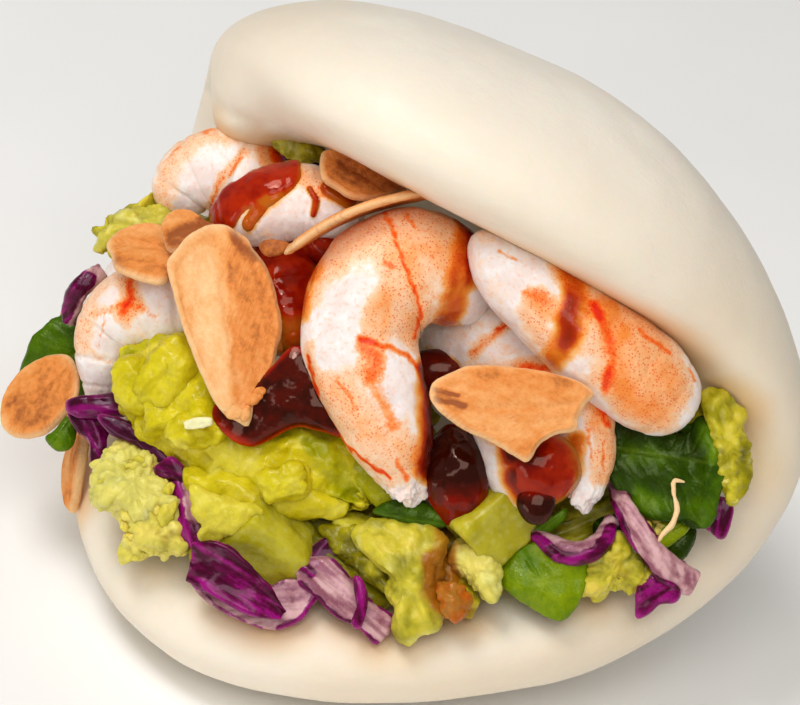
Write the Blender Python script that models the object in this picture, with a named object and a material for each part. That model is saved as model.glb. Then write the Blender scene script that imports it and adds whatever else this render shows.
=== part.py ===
"""Gua bao: a folded steamed bun filled with salad, avocado mash, shrimps and toasted almond slices."""
import math

import bmesh
import bpy
from mathutils import Matrix, Vector, noise
from mathutils.bvhtree import BVHTree

for old in list(bpy.data.objects):
    bpy.data.objects.remove(old, do_unlink=True)

# Sizes are in millimetres and are scaled once, when a mesh is made
MM = 0.001

# Dough disc before it is folded
HALF_WIDTH = 48.0
FRONT_REACH = 59.9
TOP_REACH = 53.1
DOUGH_THICK = 19.1
OUTLINE_POWER = 1.84
RIM_POWER = 4.9

# Fold
FOLD_RADIUS = 26.5
MOUTH_OPEN = 41.9
FOLD_SPREAD = 0.62
TOP_CURL = 0.0095
LOBE_CUP = 9.6
CUP_REACH = 30.0
TOP_PUFF = 1.4
PUFF_REACH = 12.0

# Local fullness of the dough: the top lobe's shoulder, its lip at the left, and the heel it stands on
SHOULDER = 1.9
SHOULDER_X = 22.0
SHOULDER_S = 24.0
SHOULDER_WIDE = 21.0
SHOULDER_POWER = 8
LIP = 6.0
LIP_X = -28.0
LIP_S = 37.0
LIP_WIDE = 9.0
LIP_EASE = 0.35
HEEL = 5.0
HEEL_S = -17.0
HEEL_LONG = 10.0
HEEL_WIDE = 27.0
LEVEL_AT = 0.5

# Place of the fold's mid-line: above the table, and behind the middle of the base
HINGE_HEIGHT = 29.3
HINGE_BACK = 20.8

# Mesh fineness of the dough
BUN_SIDES = 56
BUN_RINGS = 18

# Shrimps: mesh fineness, rings of the shell and how far each swells, and flatness
SHRIMP_SIDES = 10
SHRIMP_RINGS = 16
SHRIMP_SEGMENTS = 6
SHRIMP_STEP = 0.07
SHRIMP_FLAT = 0.88

# Almond slices
ALMOND_THICK = 1.5
ALMOND_SIDES = 14
ALMOND_RINGS = 6
ALMOND_RAGGED = 0.03
ALMOND_EDGE_POWER = 8
ALMOND_WHOLE = 20.0
ALMOND_CUT_SLACK = 0.2

# Avocado mash, thick sauce, and cucumber cubes
MASH_SIDES = 14
MASH_RINGS = 14
MASH_FLAT = 0.62
MASH_BLUNT = 5.0
SAUCE_SIDES = 8
SAUCE_BLUNT = 3.0
DROP_FLAT = 0.8
DRIZZLE_FLAT = 0.5
CUBE_BEVEL = 0.08

# Dark leaves
LEAF_THICK = 0.7
LEAF_RIPPLE = 0.9
LEAF_CURL = 1.3

# Hidden core of the salad
CORE_SIDES = 16
CORE_RINGS = 10
CORE_POWER = 3.5
CORE_WIDE = 36.0
CORE_START = 7.0
CORE_FRONT = 34.0
CORE_CLEAR = 0.9
CORE_LUMP = 9.0
CORE_ROUGH = 3.0

# Salad: mesh fineness of the bed, and of leaves and shreds along and across; triangles kept
BED_SIDES = 8
BED_RINGS = 7
BED_FLAT = 0.6
BED_BLUNT = 4.0
STRIP_ALONG = 6
LEAF_ACROSS = 3
SHRED_ACROSS = 2
SALAD_TRIANGLES = 2600

# Clearance between touching pieces
GAP = 0.35

# Direction from which the filling is set out, in degrees
SEEN_TURN = 31.3
SEEN_RISE = 33.0
SEEN_ROLL = 10.7
SEEN_FROM = 500.0


def smooth(value):
    """Ease from 0 to 1."""
    value = min(1.0, max(0.0, value))
    return value * value * (3.0 - 2.0 * value)


def turn_outward(bm):
    """Make the faces of a closed mesh point out."""
    bmesh.ops.recalc_face_normals(bm, faces=bm.faces)
    if bm.calc_volume(signed=True) < 0.0:
        bmesh.ops.reverse_faces(bm, faces=bm.faces)


def fold_profile(steps):
    """Mid-line of the dough in side view: rows of arc length, slope, y and z."""
    turn = math.pi - math.radians(MOUTH_OPEN)
    spread = FOLD_SPREAD * FOLD_RADIUS * turn
    step = (FRONT_REACH + TOP_REACH) / steps
    rows = []
    slope = y = z = 0.0
    for k in range(steps + 1):
        s = -FRONT_REACH + k * step
        bend = 0.0
        if abs(s) < spread:
            bend = turn / spread * 0.5 * (1.0 + math.cos(math.pi * s / spread))
        if s > 0.0:
            bend += TOP_CURL
        rows.append([s, slope, y, z])
        slope += bend * step
    level = min(rows, key=lambda row: abs(row[0] + LEVEL_AT * FRONT_REACH))[1]
    for k, row in enumerate(rows):
        row[1] -= level
        if k:
            mid = 0.5 * (row[1] + rows[k - 1][1])
            row[2] = rows[k - 1][2] + math.cos(mid) * step
            row[3] = rows[k - 1][3] + math.sin(mid) * step
    centre = min(rows, key=lambda row: abs(row[0]))
    y, z = centre[2], centre[3]
    for row in rows:
        row[2] -= y
        row[3] -= z
    return rows


PROFILE = fold_profile(640)


def fold_at(s):
    """Slope, y and z of the mid-line at arc length s."""
    place = (s + FRONT_REACH) / (FRONT_REACH + TOP_REACH) * (len(PROFILE) - 1)
    place = min(len(PROFILE) - 1.001, max(0.0, place))
    k = int(place)
    f = place - k
    low, high = PROFILE[k], PROFILE[k + 1]
    return [low[n] + f * (high[n] - low[n]) for n in (1, 2, 3)]


def swell_at(across, along, wide, long):
    """Round swelling that fades with the distance from its middle."""
    return math.exp(-((across / wide) ** 2) - (along / long) ** 2)


def dough_point(unit, swell=0.0):
    """Point of the folded dough for a point of the unit sphere, swollen by some millimetres."""
    ring = min(1.0, math.hypot(unit.x, unit.y))
    turn = math.atan2(unit.y, unit.x)
    c, s = math.cos(turn), math.sin(turn)
    power = 2.0 / OUTLINE_POWER
    reach = TOP_REACH if s > 0.0 else FRONT_REACH
    across = (HALF_WIDTH + swell) * ring * math.copysign(abs(c) ** power, c)
    along = (reach + swell) * ring * math.copysign(abs(s) ** power, s)
    half = (0.5 * DOUGH_THICK + swell) * math.sqrt(max(0.0, 1.0 - ring ** RIM_POWER))
    slope, y, z = fold_at(along)
    cup = LOBE_CUP * (1.0 - (across / HALF_WIDTH) ** 2) * smooth(abs(along) / CUP_REACH)
    off = math.copysign(half, unit.z) - cup
    if unit.z < 0.0:
        shoulder = swell_at(across - SHOULDER_X, along - SHOULDER_S, SHOULDER_WIDE, SHOULDER_WIDE)
        off -= SHOULDER * shoulder * (1.0 - ring ** SHOULDER_POWER)
        off -= TOP_PUFF * (1.0 - ring * ring) * smooth(along / PUFF_REACH)
        off -= HEEL * swell_at(across, along - HEEL_S, HEEL_WIDE, HEEL_LONG)
    else:
        lip = swell_at(across - LIP_X, along - LIP_S, LIP_WIDE, LIP_WIDE)
        off += LIP * lip * smooth(unit.z / LIP_EASE)
    y -= off * math.sin(slope)
    z += off * math.cos(slope)
    return Vector((across, y, z + HINGE_HEIGHT))


# Axes of that direction: to the right, upward and toward the viewer
_turn, _rise, _roll = (math.radians(angle) for angle in (SEEN_TURN, SEEN_RISE, SEEN_ROLL))
_level = Vector((math.cos(_turn), math.sin(_turn), 0.0))
_front = Vector((math.sin(_turn), -math.cos(_turn), 0.0))
TOWARD = math.cos(_rise) * _front + Vector((0.0, 0.0, math.sin(_rise)))
_upright = TOWARD.cross(_level)
ACROSS = math.cos(_roll) * _level + math.sin(_roll) * _upright
UP = -math.sin(_roll) * _level + math.cos(_roll) * _upright
CENTRE = Vector((0.0, 0.0, HINGE_HEIGHT))


def seen(across, up, toward):
    """World place of a point set out as seen: right, up and toward the viewer, from the hinge."""
    near = 1.0 - toward / SEEN_FROM
    return CENTRE + ACROSS * (across * near) + UP * (up * near) + TOWARD * toward


def course(points, t):
    """Smooth curve through rows of numbers, at t from 0 to 1."""
    place = min(0.9999, max(0.0, t)) * (len(points) - 1)
    k = int(place)
    f = place - k
    rows = [points[min(len(points) - 1, max(0, k + n))] for n in (-1, 0, 1, 2)]
    out = []
    for p0, p1, p2, p3 in zip(*rows):
        bend = (2.0 * p0 - 5.0 * p1 + 4.0 * p2 - p3) * f + (3.0 * (p1 - p2) + p3 - p0) * f * f
        out.append(p1 + 0.5 * f * (p2 - p0 + bend))
    return out


def course_frame(points, t, facing):
    """Place, tangent, side and face directions, and the extra numbers of a course at t."""
    row = course(points, t)
    here = seen(*row[:3])
    after, before = (seen(*course(points, t + step)[:3]) for step in (0.02, -0.02))
    tangent = (after - before).normalized()
    face = (facing - tangent * facing.dot(tangent)).normalized()
    return here, tangent, tangent.cross(face), face, row[3:]


def body_mesh(points, sides, rings, flat=1.0, facing=None, blunt=6.0, relief=None):
    """Closed rounded body along a course whose rows end with its half thickness."""
    facing = facing or TOWARD
    bm = bmesh.new()
    bmesh.ops.create_uvsphere(bm, u_segments=sides, v_segments=rings, radius=1.0)
    for vert in bm.verts:
        t = math.acos(max(-1.0, min(1.0, vert.co.z))) / math.pi
        turn = math.atan2(vert.co.y, vert.co.x)
        here, tangent, side, face, (half,) = course_frame(points, t, facing)
        ring = half * math.sqrt(max(0.0, 1.0 - abs(2.0 * t - 1.0) ** blunt))
        if relief:
            ring *= relief(t, turn)
        vert.co = here + side * (ring * math.cos(turn)) + face * (ring * flat * math.sin(turn))
    turn_outward(bm)
    return bm


def blade_mesh(points, along, across, thick, facing=None, ripple=0.0, waves=2.0, curl=0.0):
    """Thin wavy solid along a course whose rows end with its half width."""
    facing = facing or TOWARD
    bm = bmesh.new()
    bmesh.ops.create_grid(bm, x_segments=along, y_segments=across, size=1.0)
    bmesh.ops.triangulate(bm, faces=bm.faces)
    for vert in bm.verts:
        t = 0.5 * (vert.co.x + 1.0)
        w = vert.co.y
        here, tangent, side, face, (half,) = course_frame(points, t, facing)
        lift = ripple * abs(w) * math.sin(math.tau * waves * t + 1.7 * w) - curl * w * w
        vert.co = here + side * (half * w) + face * lift
    bmesh.ops.solidify(bm, geom=bm.faces[:] + bm.verts[:] + bm.edges[:], thickness=thick)
    turn_outward(bm)
    return bm


def slice_mesh(centre, along, wide, long_half, wide_half, point, bow, cut):
    """Almond slice: a thin slab of drop outline; along and wide are directions as seen."""
    bm = bmesh.new()
    bmesh.ops.create_uvsphere(bm, u_segments=ALMOND_SIDES, v_segments=ALMOND_RINGS, radius=1.0)
    origin = seen(*centre)
    axis = (seen(*[c + d for c, d in zip(centre, along)]) - origin).normalized()
    other = seen(*[c + d for c, d in zip(centre, wide)]) - origin
    other = (other - axis * other.dot(axis)).normalized()
    normal = axis.cross(other)
    for vert in bm.verts:
        ring = min(1.0, math.hypot(vert.co.x, vert.co.y))
        turn = math.atan2(vert.co.y, vert.co.x)
        edge = 1.0 + ALMOND_RAGGED * math.sin(7.0 * turn) * math.sin(3.0 * turn + 1.0)
        x = long_half * ring * edge * math.cos(turn)
        y = wide_half * ring * edge * math.sin(turn) * (1.0 - point * math.cos(turn))
        if x > cut:
            x = cut + ALMOND_CUT_SLACK * (x - cut)
        half = 0.5 * ALMOND_THICK * math.sqrt(max(0.0, 1.0 - ring ** ALMOND_EDGE_POWER))
        lift = math.copysign(half, vert.co.z) - bow * (x / long_half) ** 2
        vert.co = origin + axis * x + other * y + normal * lift
    turn_outward(bm)
    return bm


def dough_mesh(swell=0.0):
    """The folded bun, pressed flat where it stands."""
    bm = bmesh.new()
    bmesh.ops.create_uvsphere(bm, u_segments=BUN_SIDES, v_segments=BUN_RINGS, radius=1.0)
    for vert in bm.verts:
        vert.co = dough_point(vert.co, swell)
        vert.co.z = max(vert.co.z, -swell)
    turn_outward(bm)
    return bm


def inner_point(across, along):
    """Point of the dough's inner face, by place across and arc length along the fold."""
    reach = TOP_REACH if along > 0.0 else FRONT_REACH
    ring = sum(abs(share) ** OUTLINE_POWER for share in (across / HALF_WIDTH, along / reach))
    ring = min(1.0, ring ** (1.0 / OUTLINE_POWER))
    half = 0.5 * DOUGH_THICK * math.sqrt(1.0 - ring ** RIM_POWER)
    slope, y, z = fold_at(along)
    cup = LOBE_CUP * (1.0 - (across / HALF_WIDTH) ** 2) * smooth(abs(along) / CUP_REACH)
    off = half - cup
    return Vector((across, y - off * math.sin(slope), z + off * math.cos(slope) + HINGE_HEIGHT))


def core_mesh():
    """Hidden body of the salad, between the lobes and clear of both."""
    bm = bmesh.new()
    bmesh.ops.create_uvsphere(bm, u_segments=CORE_SIDES, v_segments=CORE_RINGS, radius=1.0)
    for vert in bm.verts:
        box = sum(abs(c) ** CORE_POWER for c in vert.co) ** (-1.0 / CORE_POWER)
        u, v, w = (c * box for c in vert.co)
        across = CORE_WIDE * u
        along = CORE_START + (CORE_FRONT - CORE_START) * 0.5 * (1.0 + v)
        share = 0.5 + 0.5 * w
        low, high = inner_point(across, -along), inner_point(across, along)
        span = (high - low).length
        share = (CORE_CLEAR + share * (span - 2.0 * CORE_CLEAR)) / span
        vert.co = low.lerp(high, share)
        vert.co.y += noise.noise(vert.co / CORE_LUMP) * CORE_ROUGH * max(0.0, v)
    turn_outward(bm)
    return bm


def box_mesh(centre, size, tilt, rough):
    """Cut cube with slightly uneven faces; tilt is turns in degrees about the seen axes."""
    bm = bmesh.new()
    bmesh.ops.create_cube(bm, size=1.0)
    bmesh.ops.bevel(bm, geom=bm.edges[:], offset=CUBE_BEVEL, segments=1, affect="EDGES")
    bmesh.ops.triangulate(bm, faces=bm.faces)
    turn = Matrix.Identity(3)
    for angle, axis in zip(tilt, (ACROSS, UP, TOWARD)):
        turn = Matrix.Rotation(math.radians(angle), 3, axis) @ turn
    sides = [turn @ axis for axis in (ACROSS, UP, TOWARD)]
    origin = seen(*centre)
    for vert in bm.verts:
        shift = noise.noise(vert.co * 3.0 + origin) * rough
        spans = [c * (length + shift) for c, length in zip(vert.co, size)]
        vert.co = origin + sum((side * span for side, span in zip(sides, spans)), Vector())
    turn_outward(bm)
    return bm


def make_object(name, bm, group):
    """Object of a mesh, in millimetres until the end."""
    mesh = bpy.data.meshes.new(name)
    bm.to_mesh(mesh)
    bm.free()
    ob = bpy.data.objects.new(name, mesh)
    group.objects.link(ob)
    return ob


def swollen(form, group):
    """Cutter: a mesh grown by the gap that touching pieces keep."""
    bm = bmesh.new()
    bm.from_mesh(form)
    bm.normal_update()
    shifts = [vert.normal * GAP for vert in bm.verts]
    for vert, shift in zip(bm.verts, shifts):
        vert.co += shift
    return make_object(form.name + "_cutter", bm, group)


def hull_tree(ob):
    """Search tree of an object's triangles."""
    bm = bmesh.new()
    bm.from_mesh(ob.data)
    tree = BVHTree.FromBMesh(bm)
    bm.free()
    return tree


def largest_body(mesh):
    """Mesh with its largest outer shell alone, so that scraps and sealed hollows go."""
    bm = bmesh.new()
    bm.from_mesh(mesh)
    bm.faces.ensure_lookup_table()
    shells, found = [], set()
    for face in bm.faces:
        if face in found:
            continue
        shell, rim = {face}, [face]
        while rim:
            for edge in rim.pop().edges:
                fresh = [other for other in edge.link_faces if other not in shell]
                shell.update(fresh)
                rim.extend(fresh)
        found |= shell
        shells.append(shell)
    best = max(shells, key=lambda shell: sum(face.calc_area() for face in shell))
    bmesh.ops.delete(bm, geom=[face for face in bm.faces if face not in best], context="FACES")
    bmesh.ops.triangulate(bm, faces=bm.faces)
    bm.to_mesh(mesh)
    bm.free()


def combine(ob, others, operation, group):
    """Boolean of an object with a collection of others, applied; the others are then removed."""
    modifier = ob.modifiers.new("combine", "BOOLEAN")
    modifier.operation = operation
    modifier.operand_type = "COLLECTION"
    modifier.collection = group
    modifier.solver = "MANIFOLD"
    graph = bpy.context.evaluated_depsgraph_get()
    mesh = bpy.data.meshes.new_from_object(ob.evaluated_get(graph))
    ob.modifiers.clear()
    ob.data = mesh
    for other in others:
        bpy.data.objects.remove(other, do_unlink=True)
    largest_body(ob.data)


def thin_out(ob, triangles):
    """Merge the smallest triangles until about so many are left."""
    modifier = ob.modifiers.new("thin", "DECIMATE")
    modifier.ratio = min(1.0, triangles / len(ob.data.polygons))
    graph = bpy.context.evaluated_depsgraph_get()
    mesh = bpy.data.meshes.new_from_object(ob.evaluated_get(graph))
    ob.modifiers.clear()
    ob.data = mesh


def fuse(ob, extras):
    """Join loose pieces to an object."""
    others = [make_object(f"{ob.name}_piece", bm, cutters) for bm in extras]
    combine(ob, others, "UNION", cutters)


def carve(ob, forms):
    """Cut an object back where finished forms lie against it."""
    tree = hull_tree(ob)
    touching = []
    for form in forms:
        cutter = swollen(form, cutters)
        if tree.overlap(hull_tree(cutter)):
            touching.append(cutter)
        else:
            bpy.data.objects.remove(cutter, do_unlink=True)
    if touching:
        combine(ob, touching, "DIFFERENCE", cutters)


def plain_material(name, colour, roughness):
    """Flat food colour for a node."""
    look = bpy.data.materials.new(name)
    look.use_nodes = True
    shader = look.node_tree.nodes["Principled BSDF"]
    shader.inputs["Base Color"].default_value = (*colour, 1.0)
    shader.inputs["Roughness"].default_value = roughness
    look.diffuse_color = (*colour, 1.0)
    return look


part = bpy.data.collections.new("gua_bao")
cutters = bpy.data.collections.new("cutters")
for group in (part, cutters):
    bpy.context.scene.collection.children.link(group)

DOUGH = ("dough", (0.90, 0.80, 0.62), 0.55)
SHRIMP = ("shrimp_meat", (0.90, 0.50, 0.30), 0.35)
ALMOND = ("toasted_almond", (0.72, 0.42, 0.17), 0.6)
AVOCADO = ("avocado", (0.55, 0.55, 0.08), 0.4)
CUCUMBER = ("cucumber", (0.62, 0.66, 0.25), 0.3)
GREEN = ("green_leaf", (0.06, 0.22, 0.03), 0.35)
SAUCE = ("sauce", (0.10, 0.015, 0.008), 0.12)
SALAD = ("salad_leaves", (0.50, 0.52, 0.14), 0.4)


def shrimp_rings(t, turn):
    """Relief of a peeled shrimp: each ring swells toward its rear edge, but not at the tail."""
    part_way = (t * SHRIMP_SEGMENTS) % 1.0
    return 1.0 + SHRIMP_STEP * (part_way - 0.5) * smooth((1.0 - t) * 5.0)


def mash_lumps(t, turn):
    """Relief of the avocado mash."""
    place = Vector((6.0 * t, 1.2 * math.cos(turn), 1.2 * math.sin(turn)))
    return 1.0 + 0.32 * noise.noise(place) + 0.12 * noise.noise(place * 2.6)


def shrimp_mesh(points):
    """Peeled shrimp; rows are across, up, toward and half thickness, head to tail."""
    return body_mesh(points, SHRIMP_SIDES, SHRIMP_RINGS, flat=SHRIMP_FLAT, relief=shrimp_rings)


# Shrimps, numbered from the upper left: rows of across, up, toward and half thickness
SHRIMPS = [
    [(-37.6, 14.0, 14, 3.0), (-36.4, 17.2, 14, 4.4), (-33.8, 19.2, 14, 5.0),
     (-30.6, 19.8, 14, 5.2), (-27.4, 18.6, 14, 5.0), (-25.2, 15.0, 14, 3.8)],
    [(-31.4, 11.4, 23, 2.6), (-29.2, 13.6, 25, 3.8), (-26.1, 15.0, 26, 4.4),
     (-21.8, 15.8, 26, 4.5), (-17.8, 15.0, 26, 4.1), (-14.8, 12.4, 24, 3.0)],
    [(-31.0, 0.6, 22, 4.4), (-36.4, 2.6, 22, 5.4), (-41.0, 2.4, 21, 5.6), (-44.6, 0.2, 19, 5.0),
     (-46.2, -3.4, 18, 4.0), (-46.8, -6.8, 17, 2.7), (-47.0, -9.8, 16, 1.8)],
    [(0.2, 1.6, 28, 5.4), (-3.7, 6.4, 31, 6.9), (-8.7, 7.3, 33, 7.3), (-13.4, 4.4, 34.5, 6.8),
     (-15.2, -1.4, 35, 6.2), (-14.0, -7.9, 35.5, 5.6), (-11.3, -14.0, 35.5, 4.7),
     (-8.9, -18.8, 35, 3.4), (-7.4, -21.4, 35, 2.4)],
    [(-4.6, 1.6, 20, 4.4), (1.8, 0.4, 25, 5.6), (8.2, -2.4, 28, 5.8), (12.4, -7.3, 30, 4.8),
     (14.2, -13.0, 31.5, 3.6), (14.6, -18.0, 32.5, 2.9), (14.0, -22.4, 33, 2.0)],
    [(8.6, -7.4, 29, 3.8), (5.8, -11.0, 31.5, 4.8), (5.4, -15.4, 32.5, 5.0), (8.0, -19.0, 33, 4.4),
     (11.0, -20.6, 32.5, 3.2)],
    [(0.2, 11.6, 37, 2.2), (3.4, 8.2, 37, 4.1), (8.4, 3.9, 36.5, 5.2), (14.7, -1.4, 35.5, 5.8),
     (20.4, -6.0, 34, 6.1), (24.6, -9.4, 33, 5.6), (28.0, -12.0, 32, 5.0)],
    [(-22.6, 12.4, 18, 3.4), (-23.8, 7.2, 22, 4.2), (-23.6, 1.6, 25, 4.2), (-22.6, -3.4, 26, 3.4)],
    [(-25.8, 18.1, -4, 3.0), (-33.9, 14.3, -7, 4.6), (-40.7, 7.0, -6.7, 5.0), (-44.2, -1.5, -4, 4.0),
     (-45.4, -7.0, -1, 2.6)],
]

# Almond slices: centre, long direction, wide direction, half length, half width, point, bow, cut end
ALMONDS = [
    ((-31.4, 0.4, 33.0), (3.5, -25.2, 4.6), (1.0, 0.12, -0.25), 12.0, 6.4, 0.3, 0.6, ALMOND_WHOLE),
    ((-38.8, 9.4, 27.0), (1.0, -0.12, 0.1), (0.1, 0.75, -0.65), 7.4, 5.4, 0.15, 0.5, ALMOND_WHOLE),
    ((-36.2, 12.2, 29.5), (1.0, 0.3, 0.0), (-0.2, 0.8, -0.5), 3.9, 3.3, 0.1, 1.0, ALMOND_WHOLE),
    ((-54.6, -8.9, 13.5), (0.68, 0.73, 0.0), (0.6, -0.55, 0.5), 6.1, 4.5, 0.12, 0.3, ALMOND_WHOLE),
    ((-14.5, 14.6, 36.5), (0.93, 0.36, -0.1), (0.0, 0.1, 1.0), 9.6, 5.0, 0.1, -1.5, ALMOND_WHOLE),
    ((-14.0, 18.8, 31.0), (0.8, -0.5, 0.1), (0.45, 0.7, -0.5), 6.6, 4.2, 0.1, 0.4, ALMOND_WHOLE),
    ((5.2, -10.8, 41.0), (1.0, 0.02, -0.1), (-0.05, 1.0, -0.35), 10.4, 5.9, -0.15, 0.5, 7.4),
    ((-50.3, -18.0, 14.5), (-0.12, -1.0, 0.1), (0.5, 0.0, 0.85), 5.2, 1.8, 0.2, 0.5, ALMOND_WHOLE),
    ((-49.0, -3.4, -5.0), (0.3, -0.5, 0.8), (-0.3, 0.8, 0.5), 8.0, 5.2, 0.2, 0.5, ALMOND_WHOLE),
]

shapes = [("bun", dough_mesh(), DOUGH)]
for number, row in enumerate(ALMONDS, 1):
    shapes.append((f"almond_{number}", slice_mesh(*row), ALMOND))
for number in (7, 4, 2, 1, 3, 5, 6, 8, 9):
    shapes.append((f"shrimp_{number}", shrimp_mesh(SHRIMPS[number - 1]), SHRIMP))

mash = [(-44.6, -4.0, 23.5, 3.4), (-39.4, -6.4, 26, 6.4), (-33.0, -11.0, 27.5, 8.0),
        (-26.0, -15.0, 28.5, 7.8), (-19.0, -18.4, 29.5, 6.2), (-13.0, -22.4, 31, 2.8)]
avocado = body_mesh(mash, MASH_SIDES, MASH_RINGS, flat=MASH_FLAT, blunt=MASH_BLUNT, relief=mash_lumps)
drop = [(-2.3, -12.6, 30.5, 2.2), (-1.9, -17.0, 33, 3.5), (-2.1, -21.4, 33.5, 3.7),
        (-2.9, -25.0, 33.5, 2.4)]
sauce = body_mesh(drop, SAUCE_SIDES, SAUCE_SIDES, flat=DROP_FLAT, blunt=SAUCE_BLUNT)
RIGHT_LEAF = [(15.5, -12.5, 26, 3.0), (19.0, -16.0, 29, 6.2), (24.4, -17.0, 30.5, 7.4),
              (29.4, -17.0, 30, 6.6), (32.4, -15.0, 28.5, 4.0)]
LEFT_LEAF = [(-42.0, -4.0, 9, 3.0), (-47.0, -2.4, 9.4, 5.0), (-52.0, -4.4, 9, 5.0), (-57.0, -7.2, 8, 2.0)]
leaf_right = blade_mesh(RIGHT_LEAF, 8, 6, LEAF_THICK, ripple=LEAF_RIPPLE, curl=LEAF_CURL)
leaf_left = blade_mesh(LEFT_LEAF, 6, 4, LEAF_THICK, ripple=LEAF_RIPPLE, curl=LEAF_CURL)
shapes += [
    ("avocado", avocado, AVOCADO),
    ("sauce_drop", sauce, SAUCE),
    ("cucumber_1", box_mesh((-25.8, -26.8, 31.0), (9.6, 7.4, 7.0), (35, 20, -40), 0.5), CUCUMBER),
    ("cucumber_2", box_mesh((-14.5, -28.4, 30.0), (7.4, 8.0, 5.0), (25, -20, -25), 0.8), CUCUMBER),
    ("cucumber_3", box_mesh((2.4, -24.8, 32.0), (8.6, 7.6, 5.4), (30, 15, 40), 0.6), CUCUMBER),
    ("leaf_right", leaf_right, GREEN),
    ("leaf_left", leaf_left, GREEN),
]

# Thick sauce lying on a piece, fused to it
DRIZZLE = {
    "avocado": [(-32.2, -9.4, 32.0, 1.8), (-27.6, -11.8, 33.0, 3.0), (-22.6, -10.4, 32.5, 3.4),
                (-22.0, -6.0, 30.5, 2.6)],
    "shrimp_6": [(6.6, -12.6, 36.0, 2.8), (8.4, -16.8, 37.0, 4.4), (8.6, -21.6, 36.0, 3.2),
                 (7.8, -24.8, 35.0, 1.8)],
}

nodes, forms = [], []
for name, bm, look in shapes:
    ob = make_object(name, bm, part)
    if name in DRIZZLE:
        sheet = body_mesh(DRIZZLE[name], SAUCE_SIDES, SAUCE_SIDES, flat=DRIZZLE_FLAT, blunt=SAUCE_BLUNT)
        fuse(ob, [sheet])
    form = ob.data.copy()
    form.name = f"{name}_form"
    if forms:
        carve(ob, forms)
    forms.append(form)
    ob.data.materials.clear()
    ob.data.materials.append(plain_material(name + "_" + look[0], look[1], look[2]))
    nodes.append(ob)

# Hidden bed that carries the showing leaves: rows of across, up, toward and half thickness
BED = [
    [(-40.7, -19.3, 20.5, 3.4), (-28.1, -25.6, 26.5, 3.8), (-9.2, -29.0, 28.5, 4.2),
     (8.4, -26.5, 26.5, 4.2), (21.0, -23.0, 26.0, 4.0), (28.6, -17.0, 27.0, 3.2)],
    [(-30.0, -4.0, 10, 6.0), (-36.0, -12.0, 16, 6.0), (-38.0, -20.0, 21, 4.0)],
    [(-12.0, -6.0, 16, 7.0), (-12.0, -16.0, 20, 7.0), (-12.0, -27.0, 27, 4.5)],
    [(14.0, -8.0, 18, 6.0), (14.0, -17.0, 22, 6.0), (12.0, -26.0, 27, 4.5)],
    [(-43.2, -14.0, 19, 2.6), (-44.0, -20.0, 22, 4.8), (-41.4, -25.4, 24, 5.0), (-38.0, -29.4, 26, 3.2)],
    [(20.0, -6.0, 20, 5.0), (29.0, -10.0, 27, 4.0), (33.0, -15.0, 30, 3.4), (32.6, -20.8, 28, 2.2)],
    [(-28.0, 8.0, 8, 6.0), (-35.0, 9.0, 12, 5.0), (-41.0, 8.0, 15, 3.6)],
    [(-24.0, 8.0, -5, 7.0), (-36.0, 5.0, -9, 7.0), (-43.0, -2.0, -7, 6.0), (-43.0, -10.0, 4, 4.6)],
]

# Leaves that show: course, half width in its last number, then thickness, ripple and curl
LEAVES = [
    ([(-21.0, 12.0, 14, 3.0), (-22.0, 19.0, 18, 3.0), (-22.8, 24.0, 22, 1.8)], 0.8, 0.5, 0.3),
    ([(5.0, -22.0, 26, 3.4), (7.2, -29.4, 31, 4.8), (9.7, -33.1, 32.5, 4.6), (11.6, -37.0, 31.5, 1.6)],
     0.9, 0.3, 0.8),
    ([(13.6, -23.0, 26, 3.6), (16.0, -29.4, 30, 4.6), (19.4, -33.6, 29.5, 3.4)], 1.0, 1.1, 0.5),
    ([(-8.6, -20.4, 25, 4.2), (-8.2, -27.5, 33, 6.0), (-7.0, -33.1, 35.5, 5.8), (-8.4, -39.8, 34.5, 2.8)],
     2.2, 1.0, 0.8),
    ([(0.9, -25.0, 28, 3.2), (0.6, -30.6, 33, 3.6), (2.0, -34.9, 33, 1.6)], 1.2, 0.8, 0.3),
    ([(-9.2, -18.0, 27, 4.2), (-7.3, -23.3, 33, 4.4), (-4.6, -25.4, 34, 2.0)], 0.9, 0.4, 0.5),
    ([(13.5, -18.6, 26, 4.0), (12.9, -24.6, 30, 4.0), (16.6, -28.0, 29.5, 2.6)], 0.9, 0.5, 0.5),
    ([(22.0, -19.0, 25, 3.4), (26.0, -25.0, 28, 3.2), (27.0, -29.4, 27, 1.6)], 0.9, 0.5, 0.4),
    ([(-30.0, 10.0, -8, 4.0), (-36.8, 11.0, -13, 4.6), (-44.0, 7.4, -12, 3.6)], 0.9, 0.8, 0.6),
    ([(-34.0, 10.6, 12, 3.6), (-41.0, 12.2, 18, 4.0), (-48.0, 9.4, 20, 2.6)], 0.9, 0.9, 0.4),
]

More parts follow.
